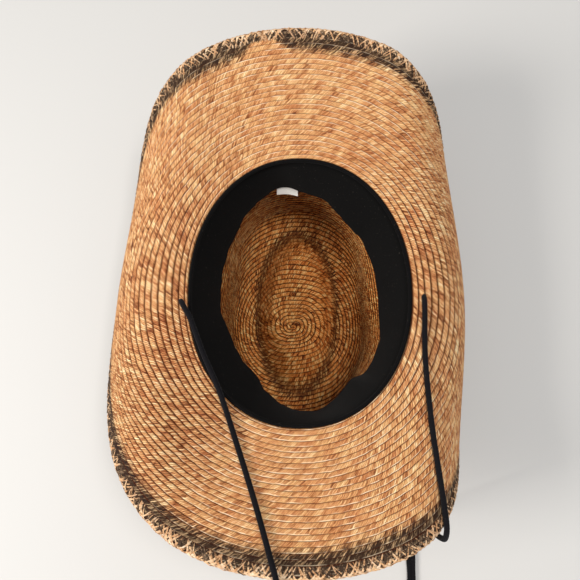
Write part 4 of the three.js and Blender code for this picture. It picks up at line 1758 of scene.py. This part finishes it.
@dataclass
class HeadBand:
    """The sweatband that leans into the crown, its welt and the bare size tag."""

    form: HatForm
    axis: Vector
    length: float = 0.600
    columns: int = 560
    steps: int = 30
    fold_depth: float = 0.0007
    fold_power: float = 1.5
    bow: float = 0.0009
    hem_rise: float = 0.22
    hem_place: float = 0.955
    hem_spread: float = 0.02
    ridge_rise: float = 0.18
    ridge_place: float = 0.09
    ridge_spread: float = 0.015
    welt_columns: int = 640
    welt_sides: int = 14
    welt_stitches: int = 160
    stitch_depth: float = 0.10
    tag_width: float = 0.018
    tag_length: float = 0.026
    tag_wall: float = 0.0006
    tag_curl: float = 0.0012
    tag_curl_place: float = 0.35
    tag_columns: int = 22
    tag_rows: int = 30
    same_height: float = 2e-5

    def band_point(self, share: np.ndarray, angle: np.ndarray, inset: float) -> np.ndarray:
        """Points of the band.

        Args:
            share: 0 at the sewn edge and 1 at the deep edge.
            angle: angles around the head.
            inset: how far they lie inside its outer face.

        Returns:
            The points.
        """
        form = self.form
        folds = rippled(BAND_FOLDS, share, angle)
        lean = form.band_lean(angle) * share + self.fold_depth * folds * share**self.fold_power
        bow = self.bow * np.sin(math.pi * share)
        depth = form.band_top + (form.band_depth - form.band_top) * share
        return form.opening(angle, form.seat_gap + inset + lean + bow, depth)

    def build_band(self) -> bpy.types.Object:
        """Builds the sweatband with a turned deep edge.

        Returns:
            The piece.
        """
        form = self.form
        share = np.linspace(0, 1, self.steps + 1)[:, None]
        angle = np.linspace(0, FULL_TURN, self.columns + 1)[None]
        share, angle = np.broadcast_arrays(share, angle)
        hem = self.hem_rise * np.exp(-(((share - self.hem_place) / self.hem_spread) ** 2))
        ridge = self.ridge_rise * np.exp(-(((share - self.ridge_place) / self.ridge_spread) ** 2))
        inner = self.band_point(share, angle, 0)
        outer = self.band_point(share, angle, form.band_wall)
        outer = outer - unit(outer - inner) * (form.band_wall * (hem + ridge))[..., None]
        place = np.stack([share * form.band_depth, angle / FULL_TURN * self.length], -1) * MILLIMETRES
        mesher = Mesher("sweatband_cloth", CLOTH_LAYERS)
        points = np.concatenate([inner, outer[::-1]])
        mesher.grid(points, [np.concatenate([place, place[::-1]])], flip=True, closed=True)
        made = mesher.make(self.axis)
        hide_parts("sweatband")
        return made

    def build_welt(self) -> bpy.types.Object:
        """Builds the welt as a corded tube with a dimple at each stitch.

        Returns:
            The piece.
        """
        form = self.form
        side = np.linspace(0, FULL_TURN, self.welt_sides + 1)[:, None]
        angle = np.linspace(0, FULL_TURN, self.welt_columns + 1)[None]
        side, angle = np.broadcast_arrays(side, angle)
        pull = 1 - self.stitch_depth * (0.5 + 0.5 * np.cos(angle * self.welt_stitches))
        radius = form.welt_radius * pull
        inset = form.welt_radius + form.seat_gap + radius * np.cos(side)
        points = form.opening(angle, inset, form.welt_sink - radius * np.sin(side))
        place = np.stack([side * form.welt_radius, angle / FULL_TURN * self.length], -1) * MILLIMETRES
        mesher = Mesher("sweatband_piping", CLOTH_LAYERS)
        mesher.grid(points, [place], flip=True)
        made = mesher.make(self.axis)
        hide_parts("sweatband_welt")
        return made

    def tag_depths(self, levels: np.ndarray) -> np.ndarray:
        """Where the CAD tag's middle stands along the hat.

        Args:
            levels: the heights to read it at.

        Returns:
            Its y at each height.
        """
        corners = np.array([vertex.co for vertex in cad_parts["size_tag"].data.vertices])
        heights = np.unique(np.round(corners[:, 2], 5))
        rows = [np.abs(corners[:, 2] - height) < self.same_height for height in heights]
        return np.interp(levels, heights, [corners[row, 1].mean() for row in rows])

    def build_tag(self) -> bpy.types.Object:
        """Builds the bare size tag where its CAD node hangs.

        Returns:
            The piece.
        """
        low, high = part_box("size_tag")
        levels = np.linspace(high.z, low.z, self.tag_rows)
        near = self.tag_depths(levels)[:, None]
        across = np.linspace(0, 1, self.tag_columns)
        x = low.x + (high.x - low.x) * across[None] + np.zeros((self.tag_rows, 1))
        z = np.broadcast_to(levels[:, None], x.shape)
        curl = self.tag_curl * (across - self.tag_curl_place) ** 2 * 4
        curled = curl[None] * np.linspace(0, 1, self.tag_rows)[:, None] ** 2
        half = self.tag_wall / 2
        front, back = (np.stack([x, near + away - curled, z], -1) for away in (-half, half))
        place = np.stack([x, z], -1) * MILLIMETRES
        mesher = Mesher("size_tag_bare", CLOTH_LAYERS)
        mesher.grid(front, [place])
        mesher.grid(back, [place], flip=True)
        for first, second in ((back[:, 0], front[:, 0]), (front[:, -1], back[:, -1])):
            mesher.grid(np.stack([first, second], 1), [place[:, :2]])
        for first, second in ((front[0], back[0]), (back[-1], front[-1])):
            mesher.grid(np.stack([first, second]), [place[:2]])
        made = mesher.make(Vector((0, 0, 0)))
        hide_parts("size_tag")
        return made

    def build(self, effects: Effects) -> None:
        """Builds and dresses the band, the welt and the tag.

        Args:
            effects: the shared effects.
        """
        black = ClothFinish(
            "black band cloth", shade(0, 0, 0), shade(11, 10, 9),
            rib_width=0.9, thread_width=0.45, sheen=0.03,
        )
        piping = ClothFinish(
            "black piping cloth", shade(0, 0, 0), shade(10, 8, 8),
            rib_width=0.6, thread_width=0.5, sheen=0.03,
        )
        bare = ClothFinish(
            "bare tag cloth", shade(236, 228, 214), shade(255, 253, 248), rib_width=0.3, thread_width=0.3,
            lint=0.0, sheen=0.1, bump=0.2,
        )
        band, welt, tag = self.build_band(), self.build_welt(), self.build_tag()
        dress(band, black.material(effects))
        dress(welt, piping.material(effects))
        dress(tag, bare.material(effects))


@dataclass
class ChinCord:
    """The braided cord and its two stopper knots."""

    axis: Vector
    length: float = 0.943
    diameter: float = 0.004
    per_span: int = 60
    sides: int = 24
    step: float = 0.0005
    carriers: int = 4
    braid_pitch: float = 0.009
    braid_relief: float = 0.00026
    relief_fullness: float = 1.4
    hump_power: float = 0.7
    girth_millimetres: float = 12.0
    knot_reach: float = 0.0011
    knot_rise: float = 1.35
    knot_rope: float = 0.00175
    knot_steps: int = 180
    knot_sides: int = 16
    rope_relief: float = 0.05
    rope_ribs: int = 8
    rope_turns: int = 60
    rope_weave: tuple[float, float] = (2.0, 5.0)
    first_up: tuple[float, float, float] = (0.3, 0.2, 1.0)

    def route(self) -> np.ndarray:
        """The cord's centreline, a centripetal curve through its points.

        Returns:
            Points about the head's axis.
        """
        points = np.array(CORD_POINTS)
        points = np.concatenate([2 * points[:1] - points[1:2], points, 2 * points[-1:] - points[-2:-1]])
        gaps = np.linalg.norm(np.diff(points, axis=0), axis=1) ** 0.5
        share = np.linspace(0, 1, self.per_span, endpoint=False)[:, None]
        line = []
        for index in range(1, len(points) - 2):
            before, start, end, after = points[index - 1 : index + 3]
            first, span, last = gaps[index - 1 : index + 2]
            leave = (start - before) / first - (end - before) / (first + span) + (end - start) / span
            arrive = (end - start) / span - (after - start) / (span + last) + (after - end) / last
            line.append(cubic(start, leave * span, end, arrive * span, share))
        return np.concatenate([*line, points[-2:-1]])

    def evenly(self, line: np.ndarray, step: float) -> np.ndarray:
        """Spaces a line's points evenly.

        Args:
            line: the line.
            step: the distance between two points.

        Returns:
            The same line with its points that far apart.
        """
        way = np.concatenate([[0], np.cumsum(np.linalg.norm(np.diff(line, axis=0), axis=1))])
        at = np.linspace(0, way[-1], int(way[-1] / step) + 1)
        return np.stack([np.interp(at, way, line[:, part]) for part in range(3)], -1)

    def carried(self, line: np.ndarray) -> tuple[np.ndarray, np.ndarray]:
        """Two directions across a line that don't twist along it.

        Args:
            line: the line.

        Returns:
            A sideways and an upward unit vector at each of its points.
        """
        tangent = unit(np.gradient(line, axis=0))
        across = np.zeros_like(line)
        across[0] = unit(np.cross(tangent[0], self.first_up))
        for index in range(1, len(line)):
            kept = across[index - 1] - tangent[index] * np.dot(across[index - 1], tangent[index])
            across[index] = kept / np.linalg.norm(kept)
        return across, np.cross(tangent, across)

    def tube(self, mesher: Mesher, line: np.ndarray, radius: np.ndarray, places: np.ndarray) -> None:
        """Adds a round tube along a line, with its ends closed.

        Args:
            mesher: the mesh to add to.
            line: the centreline.
            radius: the radius at each point of the line and side.
            places: the weave layer's numbers there.
        """
        across, up = self.carried(line)
        turn = np.linspace(0, FULL_TURN, radius.shape[1])
        ring = across[:, None] * np.cos(turn)[None, :, None] + up[:, None] * np.sin(turn)[None, :, None]
        mesher.grid(line[:, None] + ring * radius[..., None], [places], flip=True)
        for end, inward in ((0, 1), (-1, -1)):
            rim = line[end] + ring[end] * radius[end, :, None]
            hub = np.broadcast_to(line[end], rim.shape)
            mesher.grid(np.stack([hub, rim]), [places[:2]], flip=inward == 1)

    def build_cord(self) -> tuple[bpy.types.Object, np.ndarray]:
        """Builds the cord with the relief of its braid.

        Returns:
            The piece and its centreline.
        """
        line = self.evenly(self.route(), self.step)
        way = np.arange(len(line))[:, None] * self.step
        turn = np.linspace(0, FULL_TURN, self.sides + 1)[None]
        right = self.carriers * turn / FULL_TURN + way / self.braid_pitch * self.carriers
        left = self.carriers * turn / FULL_TURN - way / self.braid_pitch * self.carriers
        over = (np.floor(right) + np.floor(left)) % 2
        uppermost = np.where(over > 0.5, right, left)
        relief = np.sin(math.pi * (uppermost % 1)) ** self.hump_power
        radius = self.diameter / 2 - self.braid_relief + self.braid_relief * relief * self.relief_fullness
        places = np.broadcast_arrays(turn / FULL_TURN * self.girth_millimetres, way * MILLIMETRES)
        mesher = Mesher("chin_cord_braid", CLOTH_LAYERS)
        self.tube(mesher, line, radius, np.stack(places, -1))
        made = mesher.make(self.axis)
        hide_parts("chin_cord")
        return made, line + np.array(self.axis)

    def build_knot(self, node: str) -> bpy.types.Object:
        """Builds an overhand stopper knot in place of a CAD knot.

        Args:
            node: the CAD knot's name.

        Returns:
            The piece.
        """
        low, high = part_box(node)
        turn = np.linspace(0, FULL_TURN, self.knot_steps + 1)
        x = np.sin(turn) + 2 * np.sin(2 * turn)
        y = np.cos(turn) - 2 * np.cos(2 * turn)
        z = -self.knot_rise * np.sin(3 * turn)
        ring = np.linspace(0, FULL_TURN, self.knot_sides + 1)[None]
        ribs = np.sin(self.rope_ribs * ring + self.rope_turns * turn[:, None])
        radius = self.knot_rope * (1 + self.rope_relief * ribs)
        around, along = self.rope_weave
        places = np.stack(np.broadcast_arrays(ring * around, turn[:, None] * along), -1)
        mesher = Mesher(f"{node}_tied", CLOTH_LAYERS)
        self.tube(mesher, np.stack([x, y, z], -1) * self.knot_reach, radius, places)
        made = mesher.make((low + high) / 2)
        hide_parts(node)
        return made

    def build(self, effects: Effects) -> None:
        """Args:
            effects: the shared effects.
        """
        finish = ClothFinish(
            "black cord braid", shade(3, 3, 4), shade(20, 18, 22),
            rib_width=1.0, thread_width=0.7, sheen=0.06,
        )
        material = finish.material(effects)
        cord, line = self.build_cord()
        knots = [self.build_knot(node) for node in ("cord_knot_left", "cord_knot_right")]
        for piece in (cord, *knots):
            dress(piece, material)
        self.length


@dataclass(frozen=True)
class Studio:
    """The camera at the photograph's angle, the pale floor and the soft lights."""

    axis: Vector
    camera_place: tuple[float, float, float] = (-0.0077, -0.0942, 0.5602)
    camera_target: tuple[float, float, float] = (-0.0077, -0.0006, 0.1200)
    sensor: float = 36.0
    focal_pixels: float = 582.0
    image_side: float = 580.0
    nearest: float = 0.01
    floor_side: float = 6.0
    floor_colour: Colour = shade(206, 204, 200)
    floor_roughness: float = 0.7
    light_target: tuple[float, float, float] = (0.0, 0.0, 0.1)
    sky_colour: Colour = (0.92, 0.95, 1.0, 1.0)
    sky_strength: float = 0.45

    def place(self, name: str, data: bpy.types.ID, spot: Vector, target: Vector) -> bpy.types.Object:
        """Places something that looks at a target.

        Args:
            name: its name.
            data: its camera or light.
            spot: where it stands.
            target: where it looks.

        Returns:
            The object.
        """
        made = bpy.data.objects.new(name, data)
        made.location = spot
        made.rotation_mode = "QUATERNION"
        made.rotation_quaternion = (target - spot).to_track_quat("-Z", "Y")
        bpy.context.scene.collection.objects.link(made)
        return made

    def set_camera(self) -> None:
        """Makes the camera."""
        lens = bpy.data.cameras.new("camera")
        lens.sensor_width = self.sensor
        lens.lens = self.sensor * self.focal_pixels / self.image_side
        lens.clip_start = self.nearest
        spot, target = Vector(self.camera_place) + self.axis, Vector(self.camera_target) + self.axis
        bpy.context.scene.camera = self.place("camera", lens, spot, target)

    def lay_floor(self) -> None:
        """Lays the plain pale floor."""
        half = self.floor_side / 2
        mesh = bpy.data.meshes.new("floor")
        corners = [(-half, -half, 0), (half, -half, 0), (half, half, 0), (-half, half, 0)]
        mesh.from_pydata(corners, [], [(0, 1, 2, 3)])
        floor = bpy.data.objects.new("floor", mesh)
        bpy.context.scene.collection.objects.link(floor)
        made = bpy.data.materials.new("pale floor")
        made.use_nodes = True
        shader = made.node_tree.nodes["Principled BSDF"]
        shader.inputs["Base Color"].default_value = self.floor_colour
        shader.inputs["Roughness"].default_value = self.floor_roughness
        mesh.materials.append(made)

    def hang_lights(self) -> None:
        """Hangs the square lights, which face the hat."""
        for light in LIGHTS:
            data = bpy.data.lights.new(light.name, "AREA")
            data.size = light.side
            data.energy = light.power
            data.color = light.colour
            self.place(light.name, data, Vector(light.place), Vector(self.light_target))

    def build(self) -> None:
        """Sets the camera, the floor, the lights and the sky."""
        self.set_camera()
        self.lay_floor()
        self.hang_lights()
        bpy.context.scene.view_settings.view_transform = "Standard"
        world = bpy.data.worlds.new("soft room")
        bpy.context.scene.world = world
        world.use_nodes = True
        background = world.node_tree.nodes["Background"]
        background.inputs["Color"].default_value = self.sky_colour
        background.inputs["Strength"].default_value = self.sky_strength


def head_axis() -> Vector:
    """The head's axis in the row frame, which is the middle of the CAD crown."""
    low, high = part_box("crown")
    return Vector(((low.x + high.x) / 2, (low.y + high.y) / 2, 0))


def main() -> None:
    """Builds the hat's parts in order."""
    logging.basicConfig(level=logging.INFO, format="%(name)s: %(message)s")
    axis = head_axis()
    form = HatForm()
    effects = Effects(BraidEffect().build(), cloth_effect(), dust_effect())
    Studio(axis).build()
    ChinCord(axis).build(effects)
    StrawBody(form, axis).build(effects)
    LacedEdge(form, axis).build(effects)
    HeadBand(form, axis).build(effects)


if __name__ == "__main__":
    main()
